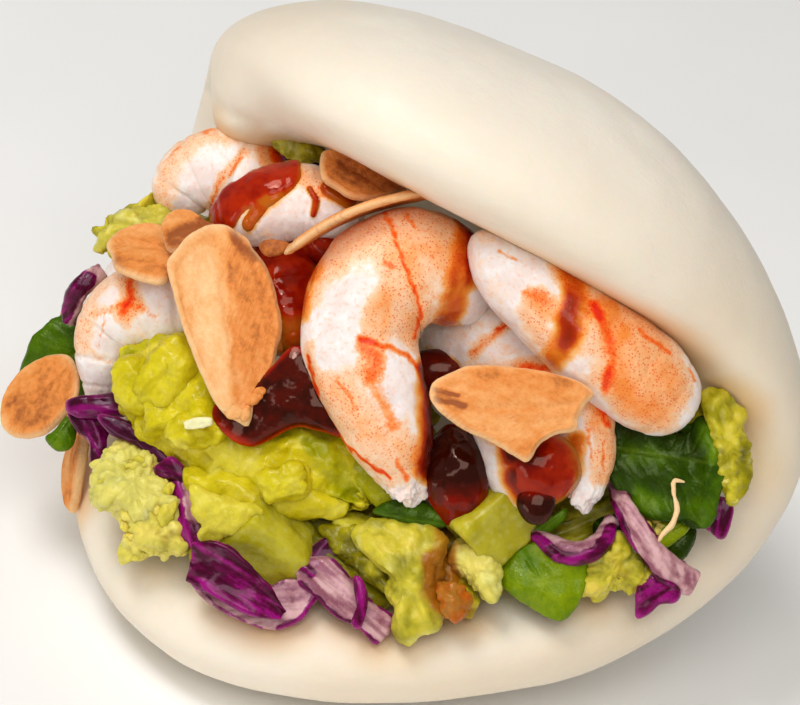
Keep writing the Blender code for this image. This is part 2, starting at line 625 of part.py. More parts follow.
# Shreds of red cabbage, set out in the same way
SHREDS = [
    ([(-38.0, 1.0, 11, 2.2), (-48.3, 4.7, 13.5, 2.2), (-51.6, 2.6, 13.5, 1.8), (-52.0, 0.0, 13.5, 1.1)],
     1.0, 0.2, 0.3),
    ([(-35.0, -13.0, 15, 2.0), (-44.5, -10.4, 20, 2.3), (-51.0, -9.4, 19.5, 1.9)], 1.6, 0.2, 0.8),
    ([(-46.6, -10.0, 18, 1.9), (-48.2, -14.2, 19, 2.1), (-48.8, -17.2, 19, 1.6)], 1.0, 0.2, 0.5),
    ([(-46.0, -11.6, 19, 1.6), (-40.7, -15.0, 24, 1.9), (-36.2, -19.0, 26, 1.7), (-36.8, -23.4, 27, 1.8),
      (-35.0, -27.0, 29, 2.2), (-31.0, -30.4, 31, 2.4)], 1.1, 0.2, 0.3),
    ([(-35.0, -26.0, 27, 2.4), (-31.0, -31.2, 32, 4.0), (-26.2, -34.2, 33.5, 4.4), (-20.6, -35.0, 33, 2.6)],
     1.3, 0.3, 1.6),
    ([(-22.0, -27.0, 26, 2.8), (-18.7, -32.3, 33, 3.4), (-14.2, -35.7, 34.5, 2.9), (-12.0, -40.0, 34, 1.2)],
     1.3, 0.3, 1.0),
    ([(7.6, -25.6, 29, 1.4), (10.0, -27.6, 32, 1.4), (13.6, -28.8, 33, 1.7), (17.0, -26.0, 32.5, 1.5),
      (18.2, -22.0, 29, 1.2)], 1.1, 0.0, 0.4),
    ([(16.0, -18.6, 27, 1.7), (19.8, -23.7, 32.5, 2.1), (22.9, -28.7, 32.5, 2.7), (27.3, -33.3, 30.5, 2.4)],
     1.5, 0.1, 0.4),
    ([(23.4, -26.6, 29, 2.4), (23.6, -31.6, 30.5, 2.5), (20.8, -36.0, 30, 1.4)], 1.0, 0.3, 0.4),
    ([(26.0, -18.0, 26, 1.8), (30.7, -23.0, 28, 2.1), (31.2, -27.2, 27.5, 1.5)], 1.2, 0.2, 0.3),
    ([(-30.7, 5.8, -17, 2.4), (-42.1, 4.8, -16, 2.4), (-47.9, -0.2, -12, 2.2), (-49.9, -6.5, -6, 1.6)],
     1.2, 0.2, 0.3),
]

salad = make_object("salad", core_mesh(), part)
extras = []
for rows in BED:
    extras.append(body_mesh(rows, BED_SIDES, BED_RINGS, flat=BED_FLAT, blunt=BED_BLUNT, relief=mash_lumps))
for strips, fineness in ((LEAVES, LEAF_ACROSS), (SHREDS, SHRED_ACROSS)):
    for rows, thick, ripple, curl in strips:
        extras.append(blade_mesh(rows, STRIP_ALONG, fineness, thick, ripple=ripple, curl=curl))
fuse(salad, extras)
thin_out(salad, SALAD_TRIANGLES)
carve(salad, forms)
salad.data.materials.clear()
salad.data.materials.append(plain_material(*SALAD))
nodes.append(salad)

# The origin goes from below the hinge to the middle of the base
for ob in nodes:
    ob.data.transform(Matrix.Scale(MM, 4) @ Matrix.Translation((0.0, HINGE_BACK, 0.0)))
    ob.data.shade_smooth()
for form in forms:
    bpy.data.meshes.remove(form)
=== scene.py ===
"""Looks of the gua bao: dough, shrimps, almond slices, mash, salad and sauce. Lengths are in millimetres."""

import itertools
import math

import bpy
import numpy as np
from mathutils import Matrix, Vector
from mathutils.kdtree import KDTree


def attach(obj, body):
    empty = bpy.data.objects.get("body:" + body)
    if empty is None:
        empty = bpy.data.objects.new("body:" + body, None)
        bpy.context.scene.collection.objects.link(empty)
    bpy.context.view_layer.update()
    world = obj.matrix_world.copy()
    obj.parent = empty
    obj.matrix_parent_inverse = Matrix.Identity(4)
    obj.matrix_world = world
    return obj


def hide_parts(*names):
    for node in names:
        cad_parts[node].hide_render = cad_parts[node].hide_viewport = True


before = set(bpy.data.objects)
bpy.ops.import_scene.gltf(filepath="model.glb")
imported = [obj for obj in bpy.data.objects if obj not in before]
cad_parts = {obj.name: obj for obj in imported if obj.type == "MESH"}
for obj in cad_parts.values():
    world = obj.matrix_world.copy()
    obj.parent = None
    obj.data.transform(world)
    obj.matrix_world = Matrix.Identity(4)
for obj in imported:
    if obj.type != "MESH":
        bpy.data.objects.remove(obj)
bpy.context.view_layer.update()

MM = 0.001

# Camera, and the way that the filling is set out as seen from it
SEEN_TURN = math.radians(31.3)
SEEN_RISE = math.radians(33.0)
SEEN_ROLL = math.radians(10.7)
SEEN_FROM = 500.0
HINGE = np.array((0.0, 20.8, 29.3))
PIXEL = 0.126
PICTURE = (800, 705)
HINGE_PIXEL = (473.0, 327.0)
SENSOR = 36.0

_level = np.array((math.cos(SEEN_TURN), math.sin(SEEN_TURN), 0.0))
_front = np.array((math.sin(SEEN_TURN), -math.cos(SEEN_TURN), 0.0))
TOWARD = math.cos(SEEN_RISE) * _front + np.array((0.0, 0.0, math.sin(SEEN_RISE)))
_upright = np.cross(TOWARD, _level)
ACROSS = math.cos(SEEN_ROLL) * _level + math.sin(SEEN_ROLL) * _upright
UP = -math.sin(SEEN_ROLL) * _level + math.cos(SEEN_ROLL) * _upright


def smooth(value, low=0.0, high=1.0):
    """Ease from 0 to 1 between low and high."""
    share = np.clip((value - low) / (high - low), 0.0, 1.0)
    return share * share * (3.0 - 2.0 * share)


def bell(value, wide):
    """Round swelling about zero."""
    return np.exp(-((value / wide) ** 2))


def unit(rows):
    """Rows scaled to length one."""
    return rows / np.maximum(np.linalg.norm(rows, axis=-1, keepdims=True), 1e-9)


# Factors that scatter the cells of the noise
SCATTER = (73856093, 19349663, 83492791)
SCATTER_AGAIN = 1274126177
WORD = 0xFFFFFFFF


def noise(points, size, seed):
    """Smooth noise about zero, with hills of this size, at rows of places."""
    places = np.asarray(points) / size + seed * 17.31
    cell = np.floor(places).astype(np.int64)
    inner = places - cell
    ease = inner ** 3 * (inner * (inner * 6.0 - 15.0) + 10.0)
    total = np.zeros(len(places))
    for corner in itertools.product((0, 1), repeat=3):
        x, y, z = (cell + corner).T
        mixed = (x * SCATTER[0] ^ y * SCATTER[1] ^ z * SCATTER[2]) & WORD
        mixed = ((mixed ^ (mixed >> 13)) * SCATTER_AGAIN) & WORD
        mixed ^= mixed >> 16
        slope = np.stack([(mixed >> shift) & 255 for shift in (0, 8, 16)], axis=1) / 127.5 - 1.0
        weight = np.prod(np.where(corner, ease, 1.0 - ease), axis=1)
        total += weight * np.sum(slope * (inner - corner), axis=1)
    return total


def fractal(points, size, octaves, seed):
    """Noise of several sizes, about -1 to 1."""
    return 1.3 * sum(0.5 ** k * noise(points, size / 2.0 ** k, seed + k) for k in range(octaves))


def ridged(points, size, octaves, seed):
    """Noise with sharp creases, 0 in a crease and about 1 between."""
    return 1.6 * sum(0.5 ** k * np.abs(noise(points, size / 2.0 ** k, seed + k)) for k in range(octaves))


def seen(rows):
    """World places of rows of across, up and toward, as seen from the camera."""
    rows = np.atleast_2d(rows)
    near = 1.0 - rows[:, 2:3] / SEEN_FROM
    return HINGE + ACROSS * rows[:, 0:1] * near + UP * rows[:, 1:2] * near + TOWARD * rows[:, 2:3]


def pixel_place(u, v, toward):
    """Across, up and toward of a pixel of the picture, at a distance toward the viewer."""
    return (PIXEL * (u - HINGE_PIXEL[0]), PIXEL * (HINGE_PIXEL[1] - v), toward)


def pixel_course(*rows):
    """Course through pixels of the picture, from rows of pixel, distance toward the viewer and half size."""
    return [(*pixel_place(*row[:3]), row[3]) for row in rows]


def pixels_of(numbers):
    """Rows of pixels from numbers in one line."""
    return np.reshape(numbers, (-1, 2)).astype(float)


class Form:
    """Mesh in millimetres with numbers at its points."""

    def __init__(self, points, faces, **fields):
        self.points = points
        self.faces = faces
        self.fields = fields

    def normals(self):
        """Directions straight out of the surface at the points."""
        total = np.zeros_like(self.points)
        for block in self.faces:
            corners = self.points[block]
            start = corners.shape[1] - 3
            cross = np.cross(corners[:, 1 + start] - corners[:, 0], corners[:, 2 + start] - corners[:, start])
            for axis in range(3):
                weights = np.repeat(cross[:, axis], block.shape[1])
                total[:, axis] += np.bincount(block.ravel(), weights, len(total))
        return unit(total)

    def outward(self):
        """Turn the faces out if the mesh is inside out."""
        middle = self.points.mean(axis=0)
        if np.sum((self.points - middle) * self.normals()) < 0.0:
            self.faces = [block[:, ::-1] for block in self.faces]
        return self

    def push(self, heights):
        """Move the points along their normals."""
        self.points = self.points + self.normals() * np.reshape(heights, (-1, 1))
        return self

    def rough(self, *layers):
        """Push the points by noises, each given as height, size, octaves and seed."""
        return self.push(sum(height * fractal(self.points, *layer) for height, *layer in layers))

    def pixels(self):
        """Pixels of the picture at which the points are seen."""
        offset = self.points - HINGE
        near = 1.0 - offset @ TOWARD / SEEN_FROM
        return (HINGE_PIXEL[0] + offset @ ACROSS / near / PIXEL,
                HINGE_PIXEL[1] - offset @ UP / near / PIXEL)

    def facing(self):
        """How far each point faces the camera, -1 to 1."""
        return self.normals() @ TOWARD


def joined(forms):
    """One form of several."""
    names = set().union(*(form.fields for form in forms))
    starts = np.cumsum([0] + [len(form.points) for form in forms])
    faces = [block + start for form, start in zip(forms, starts) for block in form.faces]
    fields = {name: np.concatenate([form.fields.get(name, 0.0) * np.ones(len(form.points)) for form in forms])
              for name in names}
    return Form(np.concatenate([form.points for form in forms]), faces, **fields)


def far_from(line, u, v):
    """Distance in pixels of places from a line, given as its pixels' numbers."""
    line = pixels_of(line)
    away = np.full(len(u), 1e9)
    for (u0, v0), (u1, v1) in zip(line, line[1:]):
        run, rise = u1 - u0, v1 - v0
        share = np.clip(((u - u0) * run + (v - v0) * rise) / (run ** 2 + rise ** 2), 0.0, 1.0)
        away = np.minimum(away, np.hypot(u - u0 - share * run, v - v0 - share * rise))
    return away


def strokes(form, marks, warp=1.2, size=1.0, any_side=False):
    """Paint at each point from marks: half width in pixels, softness, amount, then the pixels of a line."""
    u, v = form.pixels()
    u = u + 2.0 * warp * noise(form.points, size, 11)
    v = v + 2.0 * warp * noise(form.points, size, 12)
    total = np.zeros(len(form.points))
    for wide, soft, amount, *line in marks:
        total += amount * (1.0 - smooth(far_from(line, u, v) / wide, 1.0 - soft, 1.0 + soft))
    return total if any_side else total * smooth(form.facing(), -0.2, 0.1)


def grid_quads(rows, columns):
    """Faces of a grid of points."""
    a = (np.arange(rows - 1)[:, None] * columns + np.arange(columns - 1)).ravel()
    return np.stack([a, a + columns, a + columns + 1, a + 1], axis=1)


def ball(rings, sides):
    """Angle from the pole, turn about it, and faces of a sphere's grid with both poles."""
    polar = np.linspace(0.0, math.pi, rings + 1)[1:-1]
    k = np.arange(sides)
    after = (k + 1) % sides
    start = np.arange(len(polar) - 1)[:, None] * sides
    a, b = (start + k).ravel(), (start + after).ravel()
    first = len(polar) * sides
    end = first - sides
    top = np.stack([np.full(sides, first), k, after], axis=1)
    low = np.stack([np.full(sides, first + 1), end + after, end + k], axis=1)
    faces = [np.stack([a, a + sides, b + sides, b], axis=1), np.concatenate([top, low])]
    return (np.append(np.repeat(polar, sides), (0.0, math.pi)),
            np.append(np.tile(k * math.tau / sides, len(polar)), (0.0, 0.0)), faces)


def course(rows, t):
    """Smooth curve through rows of numbers, at shares t from 0 to 1."""
    rows = np.asarray(rows, float)
    place = np.clip(t, 0.0, 0.9999) * (len(rows) - 1)
    k = place.astype(int)
    f = (place - k)[:, None]
    p0, p1, p2, p3 = (rows[np.clip(k + n, 0, len(rows) - 1)] for n in (-1, 0, 1, 2))
    bend = (2.0 * p0 - 5.0 * p1 + 4.0 * p2 - p3) * f + (3.0 * (p1 - p2) + p3 - p0) * f * f
    return p1 + 0.5 * f * (p2 - p0 + bend)


def course_frame(rows, t):
    """Places, tangents, side and face directions, and half sizes along a course."""
    row = course(rows, t)
    tangent = unit(seen(course(rows, t + 0.02)[:, :3]) - seen(course(rows, t - 0.02)[:, :3]))
    face = unit(TOWARD - tangent * (tangent @ TOWARD)[:, None])
    return seen(row[:, :3]), tangent, np.cross(tangent, face), face, row[:, 3]


def tube(rows, rings, sides, flat=1.0, blunt=6.0):
    """Rounded body along a course whose rows end with its half thickness; fields t along and turn about."""
    polar, turn, faces = ball(rings, sides)
    t = 0.5 * (polar / math.pi + 0.5 * (1.0 - np.cos(polar)))
    here, _, side, face, half = course_frame(rows, t)
    ring = half * np.sqrt(np.maximum(0.0, 1.0 - np.abs(2.0 * t - 1.0) ** blunt))
    points = here + side * (ring * np.cos(turn))[:, None] + face * (ring * flat * np.sin(turn))[:, None]
    return Form(points, faces, t=t, turn=turn).outward()


OUTLINE_CELLS = 360


def outline_reach(corners, turn, jag, seed):
    """Distance from the middle to a closed outline at each turn, at the edge and evened out."""
    rows = np.vstack([corners[-1:], corners, corners[:2]])
    count = len(rows) - 1
    line = course(rows, np.linspace(1.0, count - 1.0, 16 * OUTLINE_CELLS) / count)
    cell = np.round(np.arctan2(line[:, 1], line[:, 0]) / math.tau * OUTLINE_CELLS).astype(int) % OUTLINE_CELLS
    far = np.zeros(OUTLINE_CELLS)
    np.maximum.at(far, cell, np.hypot(line[:, 0], line[:, 1]))
    known = np.flatnonzero(far)
    around = np.arange(OUTLINE_CELLS) * math.tau / OUTLINE_CELLS
    whole = np.interp(around, around[known], far[known], period=math.tau)
    near = OUTLINE_CELLS // 9
    soft = np.convolve(np.concatenate([whole[-near:], whole, whole[:near]]), np.ones(2 * near + 1), "valid")
    circle = np.stack([np.cos(turn) * 3.0, np.sin(turn) * 3.0, np.full(len(turn), seed * 4.7)], axis=1)
    edge = np.interp(turn, around, whole, period=math.tau) * (1.0 + jag * fractal(circle, 0.7, 4, seed))
    return edge, np.interp(turn, around, soft / (2 * near + 1), period=math.tau)


def plate(outline, toward, lean, thick, dome, wavy, jag, seed, rings, sides, rim_power=8.0):
    """Leaf or slice with an outline of pixels; lean is its slope across and down the picture."""
    polar, turn, faces = ball(rings, sides)
    share = np.sin(polar)
    corners = pixels_of(outline)
    middle = 0.5 * (corners.min(axis=0) + corners.max(axis=0)) * 0.5 + corners.mean(axis=0) * 0.5
    edge, soft = outline_reach(corners - middle, turn, jag, seed)
    reach = share * (soft + (edge - soft) * share)
    du, dv = reach * np.cos(turn), reach * np.sin(turn)
    flat = np.stack([du * PIXEL, dv * PIXEL, np.full(len(turn), seed * 2.3)], axis=1)
    depth = toward + PIXEL * (lean[0] * du + lean[1] * dv) + dome * (1.0 - share ** 2)
    depth += wavy * fractal(flat, 5.0, 2, seed) * smooth(share, 0.0, 0.6)
    body = 0.5 * thick * np.sqrt(np.maximum(0.0, 1.0 - share ** rim_power))
    depth += np.where(np.cos(polar) >= 0.0, body, -body)
    rows = pixel_place(middle[0] + du, middle[1] + dv, depth)
    return Form(seen(np.stack(rows, axis=1)), faces, share=share).outward()


def crumbs(number, outline, toward, lean, count, sizes, tone):
    """Small torn bits lying inside an outline of pixels."""
    seed = 300 + number
    draw = np.random.default_rng(seed)
    corners = pixels_of(outline)
    middle = corners.mean(axis=0)
    forms = []
    for k in range(count):
        share = draw.uniform()
        edge = corners[k % len(corners)] * (1.0 - share) + corners[(k + 1) % len(corners)] * share
        u, v = middle + (edge - middle) * draw.uniform() ** 0.45 * 0.92
        depth = toward + PIXEL * (lean[0] * (u - middle[0]) + lean[1] * (v - middle[1]))
        depth += draw.uniform(-0.5, 0.2)
        half = draw.uniform(*sizes)
        shape = half * np.array((draw.uniform(0.9, 2.0), draw.uniform(0.5, 1.1), draw.uniform(0.45, 0.7)))
        form = lump(pixel_place(u, v, depth), shape, draw.uniform(-80, 80), 12, 16, box=2.4)
        form.rough((0.75 * half, 0.9 * half + 0.3, 3, seed + k))
        form.fields["tone"] = tone + draw.uniform(-0.25, 0.3)
        forms.append(form)
    form = joined(forms)
    form.fields.update(pale=0.2 + 0.3 * np.abs(fractal(form.points, 2.0, 2, number)), stain=0.0)
    return form


def blade(rows, along, across, thick, ripple, waves, curl, ragged, round_end, seed):
    """Thin wavy leaf along a course whose rows end with its half width; fields t and w run over it."""
    t, w = (axis.ravel() for axis in np.meshgrid(np.linspace(0.0, 1.0, along), np.linspace(-1.0, 1.0, across),
                                                 indexing="ij"))
    here, tangent, side, face, half = course_frame(rows, t)
    line = np.stack([t * 9.0, np.sign(w) * 5.0, np.full(len(t), seed * 3.7)], axis=1)
    half = half * (1.0 + ragged * fractal(line, 1.0, 4, seed) * 1.5)
    if round_end:
        tip = np.clip((t - 1.0 + round_end) / round_end, 0.0, 1.0)
        half = half * np.sqrt(np.maximum(0.02, 1.0 - tip ** 2.2))
    lift = ripple * np.abs(w) ** 1.5 * np.sin(math.tau * waves * t + 1.7 * w + seed) - curl * w * w
    middle = here + side * (half * w)[:, None] + face * lift[:, None]
    normal = unit(np.cross(tangent, side))
    normal *= np.sign(np.sum(normal * face, axis=1))[:, None]
    body = normal * (0.5 * thick * np.sqrt(np.maximum(0.12, 1.0 - np.abs(w) ** 8)))[:, None]
    count = along * across
    top = grid_quads(along, across)
    rim = np.concatenate([np.arange(across), across * np.arange(2, along + 1) - 1,
                          (count - 2) - np.arange(across - 1), across * np.arange(along - 2, 0, -1)])
    after = np.roll(rim, -1)
    edge = np.stack([rim, after, after + count, rim + count], axis=1)
    return Form(np.concatenate([middle + body, middle - body]),
                [np.concatenate([top, top[:, ::-1] + count, edge])],
                t=np.tile(t, 2), w=np.tile(w, 2), under=np.repeat((0.0, 1.0), count)).outward()


CUBE_CELLS = 28
CUBE_ROUNDING = 9.0


def cube(centre, size, tilt):
    """Cut cube with rounded edges, turned about the axes as seen."""
    line = np.linspace(-1.0, 1.0, CUBE_CELLS)
    a, b = (axis.ravel() for axis in np.meshgrid(line, line, indexing="ij"))
    quads = grid_quads(CUBE_CELLS, CUBE_CELLS)
    sides, faces = [], []
    for axis, sign in itertools.product(range(3), (-1.0, 1.0)):
        block = np.empty((len(a), 3))
        block[:, axis], block[:, (axis + 1) % 3], block[:, (axis + 2) % 3] = sign, a, b
        faces.append((quads if sign > 0 else quads[:, ::-1]) + len(a) * len(sides))
        sides.append(block)
    local = np.concatenate(sides)
    _, kept, places = np.unique(np.round(local * 1e4).astype(int), axis=0,
                                return_index=True, return_inverse=True)
    local = local[kept]
    far = np.sum(np.abs(local) ** CUBE_ROUNDING, axis=1) ** (1 / CUBE_ROUNDING)
    local = local * (np.max(np.abs(local), axis=1) / far)[:, None]
    turn = Matrix.Identity(3)
    for angle, axis in zip(tilt, (ACROSS, UP, TOWARD)):
        turn = Matrix.Rotation(math.radians(angle), 3, Vector(axis)) @ turn
    axes = np.array([turn @ Vector(axis) for axis in (ACROSS, UP, TOWARD)])
    points = seen([centre]) + (local * np.array(size) * 0.5) @ axes
    return Form(points, [places.ravel()[np.concatenate(faces)]]).outward()


def lump(centre, sizes, tilt, rings, sides, box=2.0):
    """Ball with three half sizes: across, up and toward, turned in the picture by tilt degrees."""
    polar, turn, faces = ball(rings, sides)
    local = np.stack([np.sin(polar) * np.cos(turn), np.sin(polar) * np.sin(turn), np.cos(polar)], axis=1)
    local /= (np.sum(np.abs(local) ** box, axis=1) ** (1.0 / box))[:, None]
    c, s = math.cos(math.radians(tilt)), math.sin(math.radians(tilt))
    axes = np.array([c * ACROSS + s * UP, -s * ACROSS + c * UP, TOWARD])
    return Form(seen([centre]) + (local * np.array(sizes)) @ axes, faces).outward()


def almond(centre, along, wide, long_half, wide_half, point, bow, cut, outline, thick, seed, rings, sides):
    """Toasted almond slice; with an outline of pixels it has that edge in its own plane."""
    polar, turn, faces = ball(rings, sides)
    ring = np.sin(polar)
    ring = np.where(ring < 0.999, ring, 1.0)
    origin = seen([centre])[0]
    axis = unit(seen([np.add(centre, along)])[0] - origin)
    other = seen([np.add(centre, wide)])[0] - origin
    other = unit(other - axis * (other @ axis))
    normal = np.cross(axis, other)
    if outline:
        eye = HINGE + TOWARD * SEEN_FROM
        rays = seen([pixel_place(u, v, 0.0) for u, v in pixels_of(outline)]) - eye
        rays *= (((origin - eye) @ normal) / (rays @ normal))[:, None]
        corners = np.stack([(rays + eye - origin) @ axis, (rays + eye - origin) @ other], axis=1)
        edge, soft = outline_reach(corners, turn, 0.018, seed)
        reach = ring * (soft + (edge - soft) * ring)
        x, y = reach * np.cos(turn), reach * np.sin(turn)
    else:
        line = np.stack([np.cos(turn) * 2.0, np.sin(turn) * 2.0, np.full(len(turn), seed * 5.1)], axis=1)
        edge = 1.0 + 0.03 * np.sin(7.0 * turn) * np.sin(3.0 * turn + 1.0) + 0.05 * fractal(line, 0.8, 5, seed)
        x = long_half * ring * edge * np.cos(turn)
        y = wide_half * ring * edge * np.sin(turn) * (1.0 - point * np.cos(turn))
        rough_cut = cut + 0.7 * fractal(np.stack([y, y * 0.0, y * 0.0 + seed], axis=1), 2.4, 4, seed)
        x = np.where(x > rough_cut, rough_cut + 0.08 * (x - rough_cut), x)
    flat = np.stack([x * 0.35, y, np.full(len(x), seed * 3.3)], axis=1)
    half = 0.5 * thick * np.sqrt(np.maximum(0.0, 1.0 - ring ** 16))
    streaks = fractal(flat, 1.1, 4, seed)
    cleft = bell(y / wide_half - 0.12 * fractal(flat, 5.0, 2, seed + 3) - 0.05, 0.1)
    relief = (0.06 * streaks + 0.14 * fractal(flat, 4.0, 2, seed + 5) - 0.22 * cleft
              + 0.22 * bell(ring - 0.92, 0.05))
    lift = np.where(np.cos(polar) >= 0.0, 1.0, -1.0) * (half + relief * smooth(1.0 - ring, 0.0, 0.12))
    lift = lift - bow * (x / long_half) ** 2 + 0.5 * noise(flat, 6.0, seed + 8)
    points = origin + axis * x[:, None] + other * y[:, None] + normal * lift[:, None]
    return Form(points, faces, x=x / long_half, y=y / wide_half, rim=ring ** 12, streaks=streaks).outward()


# Sauce on a form: from which amount it lies there, and how deep its underside sinks in
FILM_LOW = 0.12
FILM_SINK = 0.25


def film(host, amount, thick):
    """Sauce lying on a form where there is enough of it; it thins out to its rim."""
    keep = amount > FILM_LOW
    height = thick * smooth(amount, FILM_LOW, FILM_LOW + 0.55)
    height -= FILM_SINK * (1.0 - smooth(amount, FILM_LOW, FILM_LOW + 0.2))
    normal = host.normals()
    faces = [block[np.all(keep[block], axis=1)] for block in host.faces]
    edges = dict.fromkeys((a, b) for block in faces for row in block.tolist()
                          for a, b in zip(row, row[1:] + row[:1]))
    count = len(host.points)
    wall = np.array([(b, a, a + count, b + count) for a, b in edges if (b, a) not in edges]).reshape(-1, 4)
    blocks = faces + [block[:, ::-1] + count for block in faces] + [wall]
    points = np.concatenate([host.points + normal * height[:, None],
                             host.points - normal * (FILM_SINK + 0.1)])
    depth = np.concatenate([smooth(amount, FILM_LOW, FILM_LOW + 0.8)] * 2)
    used = np.unique(np.concatenate([block.ravel() for block in blocks]))
    places = np.zeros(len(points), int)
    places[used] = np.arange(len(used))
    return Form(points[used], [places[block] for block in blocks if len(block)], depth=depth[used])


def rgb(red, green, blue):
    """Linear colour of a screen colour given as 0 to 255."""
    parts = [part / 255.0 for part in (red, green, blue)]
    return (*[part / 12.92 if part < 0.04 else ((part + 0.055) / 1.055) ** 2.4 for part in parts], 1.0)


class Look:
    """Food surface: a Principled shader fed by procedural nodes."""

    def __init__(self, name, **sockets):
        self.material = bpy.data.materials.new(name)
        self.material.use_nodes = True
        self.tree = self.material.node_tree
        self.shader = self.tree.nodes["Principled BSDF"]
        for socket, value in sockets.items():
            self.shader.inputs[socket.replace("_", " ")].default_value = value
        self.place = self.add("ShaderNodeTexCoord").outputs["Object"]

    def add(self, kind, links=(), **settings):
        """Node with settings, and links or values for its inputs by place or name."""
        node = self.tree.nodes.new(kind)
        for setting, value in settings.items():
            setattr(node, setting, value)
        for socket, value in dict(links).items():
            self.feed(node.inputs[socket], value)
        return node

    def feed(self, socket, value):
        """Link an output to an input, or set its value."""
        if isinstance(value, bpy.types.NodeSocket):
            self.tree.links.new(value, socket)
        else:
            socket.default_value = value

    def noise(self, size, detail=3.0, rough=0.55):
        """Noise with hills of this size in millimetres."""
        links = {"Vector": self.place, "Scale": 1.0 / (size * MM), "Detail": detail, "Roughness": rough}
        return self.add("ShaderNodeTexNoise", links).outputs[0]

    def cells(self, size):
        """Distance to scattered points this far apart in millimetres."""
        links = {"Vector": self.place, "Scale": 1.0 / (size * MM)}
        return self.add("ShaderNodeTexVoronoi", links).outputs["Distance"]

    def field(self, name):
        """Number kept at the mesh's points."""
        return self.add("ShaderNodeAttribute", attribute_name=name).outputs["Fac"]

    def maths(self, kind, a, b=0.0):
        """One sum of two numbers or outputs."""
        return self.add("ShaderNodeMath", {0: a, 1: b}, operation=kind).outputs[0]

    def span(self, value, low, high, to_low=0.0, to_high=1.0):
        """Number eased from one span to another."""
        links = {"Value": value, "From Min": low, "From Max": high, "To Min": to_low, "To Max": to_high}
        return self.add("ShaderNodeMapRange", links, interpolation_type="SMOOTHSTEP").outputs[0]

    def grain(self, size, detail, low, high, rough=0.55):
        """Noise eased to a span of numbers."""
        return self.span(self.noise(size, detail, rough), 0.3, 0.7, low, high)

    def grained(self, value, amount, size, detail, rough=0.55):
        """A field or an output, made uneven by up to an amount."""
        value = self.field(value) if isinstance(value, str) else value
        return self.maths("ADD", value, self.grain(size, detail, -amount, amount, rough))

    def ramp(self, value, *stops):
        """Colour by number; each stop is a place and a screen colour."""
        node = self.add("ShaderNodeValToRGB", {0: value})
        elements = node.color_ramp.elements
        while len(elements) < len(stops):
            elements.new(0.5)
        for element, (place, *colour) in zip(elements, stops):
            element.position = place
            element.color = rgb(*colour)
        return node.outputs[0]

    def mix(self, share, a, b, kind="MIX"):
        """Blend of two colours."""
        node = self.add("ShaderNodeMix", data_type="RGBA", blend_type=kind)
        for socket, value in zip((node.inputs[0], node.inputs[6], node.inputs[7]), (share, a, b)):
            self.feed(socket, value)
        return node.outputs[2]

    def over(self, tone, value, low, high, share, *colour):
        """Screen colour laid over a tone, up to a share, as a field or an output passes from low to high."""
        value = self.field(value) if isinstance(value, str) else value
        return self.mix(self.span(value, low, high, 0.0, share), tone, rgb(*colour))

    def finish(self, colour, roughness, *heights):
        """Wire the colour, the roughness and relief given as pairs of output and height in millimetres."""
        self.feed(self.shader.inputs["Base Color"], colour)
        self.feed(self.shader.inputs["Roughness"], roughness)
        normal = None
        for height, distance in heights:
            links = {"Height": height, "Distance": distance * MM, "Strength": 1.0}
            if normal:
                links["Normal"] = normal
            normal = self.add("ShaderNodeBump", links).outputs[0]
        if normal:
            self.feed(self.shader.inputs["Normal"], normal)
        return self.material


def food(name, under, radius, deep, shine, tint=(1.0, 1.0, 1.0), wet=0.0, wet_rough=0.03):
    """Look of food: light under its skin, by colour and depth, its shine, the shine's tint and a wet coat."""
    return Look(name, Subsurface_Weight=under, Subsurface_Radius=radius, Subsurface_Scale=deep * MM,
                Specular_IOR_Level=shine, Specular_Tint=(*tint, 1.0),
                Coat_Weight=wet, Coat_Roughness=wet_rough)


def make_piece(name, form, look, slot, *nodes):
    """Mesh object of a form, riding on the body and standing for CAD nodes."""
    mesh = bpy.data.meshes.new(name)
    faces = [row for block in form.faces for row in block.tolist()]
    mesh.from_pydata((form.points * MM).tolist(), [], faces)
    for field, values in form.fields.items():
        layer = mesh.attributes.new(field, "FLOAT", "POINT")
        layer.data.foreach_set("value", np.ascontiguousarray(values, dtype=np.float32))
    mesh.materials.append(look)
    mesh.shade_smooth()
    ob = bpy.data.objects.new(name, mesh)
    bpy.context.scene.collection.objects.link(ob)
    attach(ob, "root")
    if nodes:
        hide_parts(*nodes)
    return ob


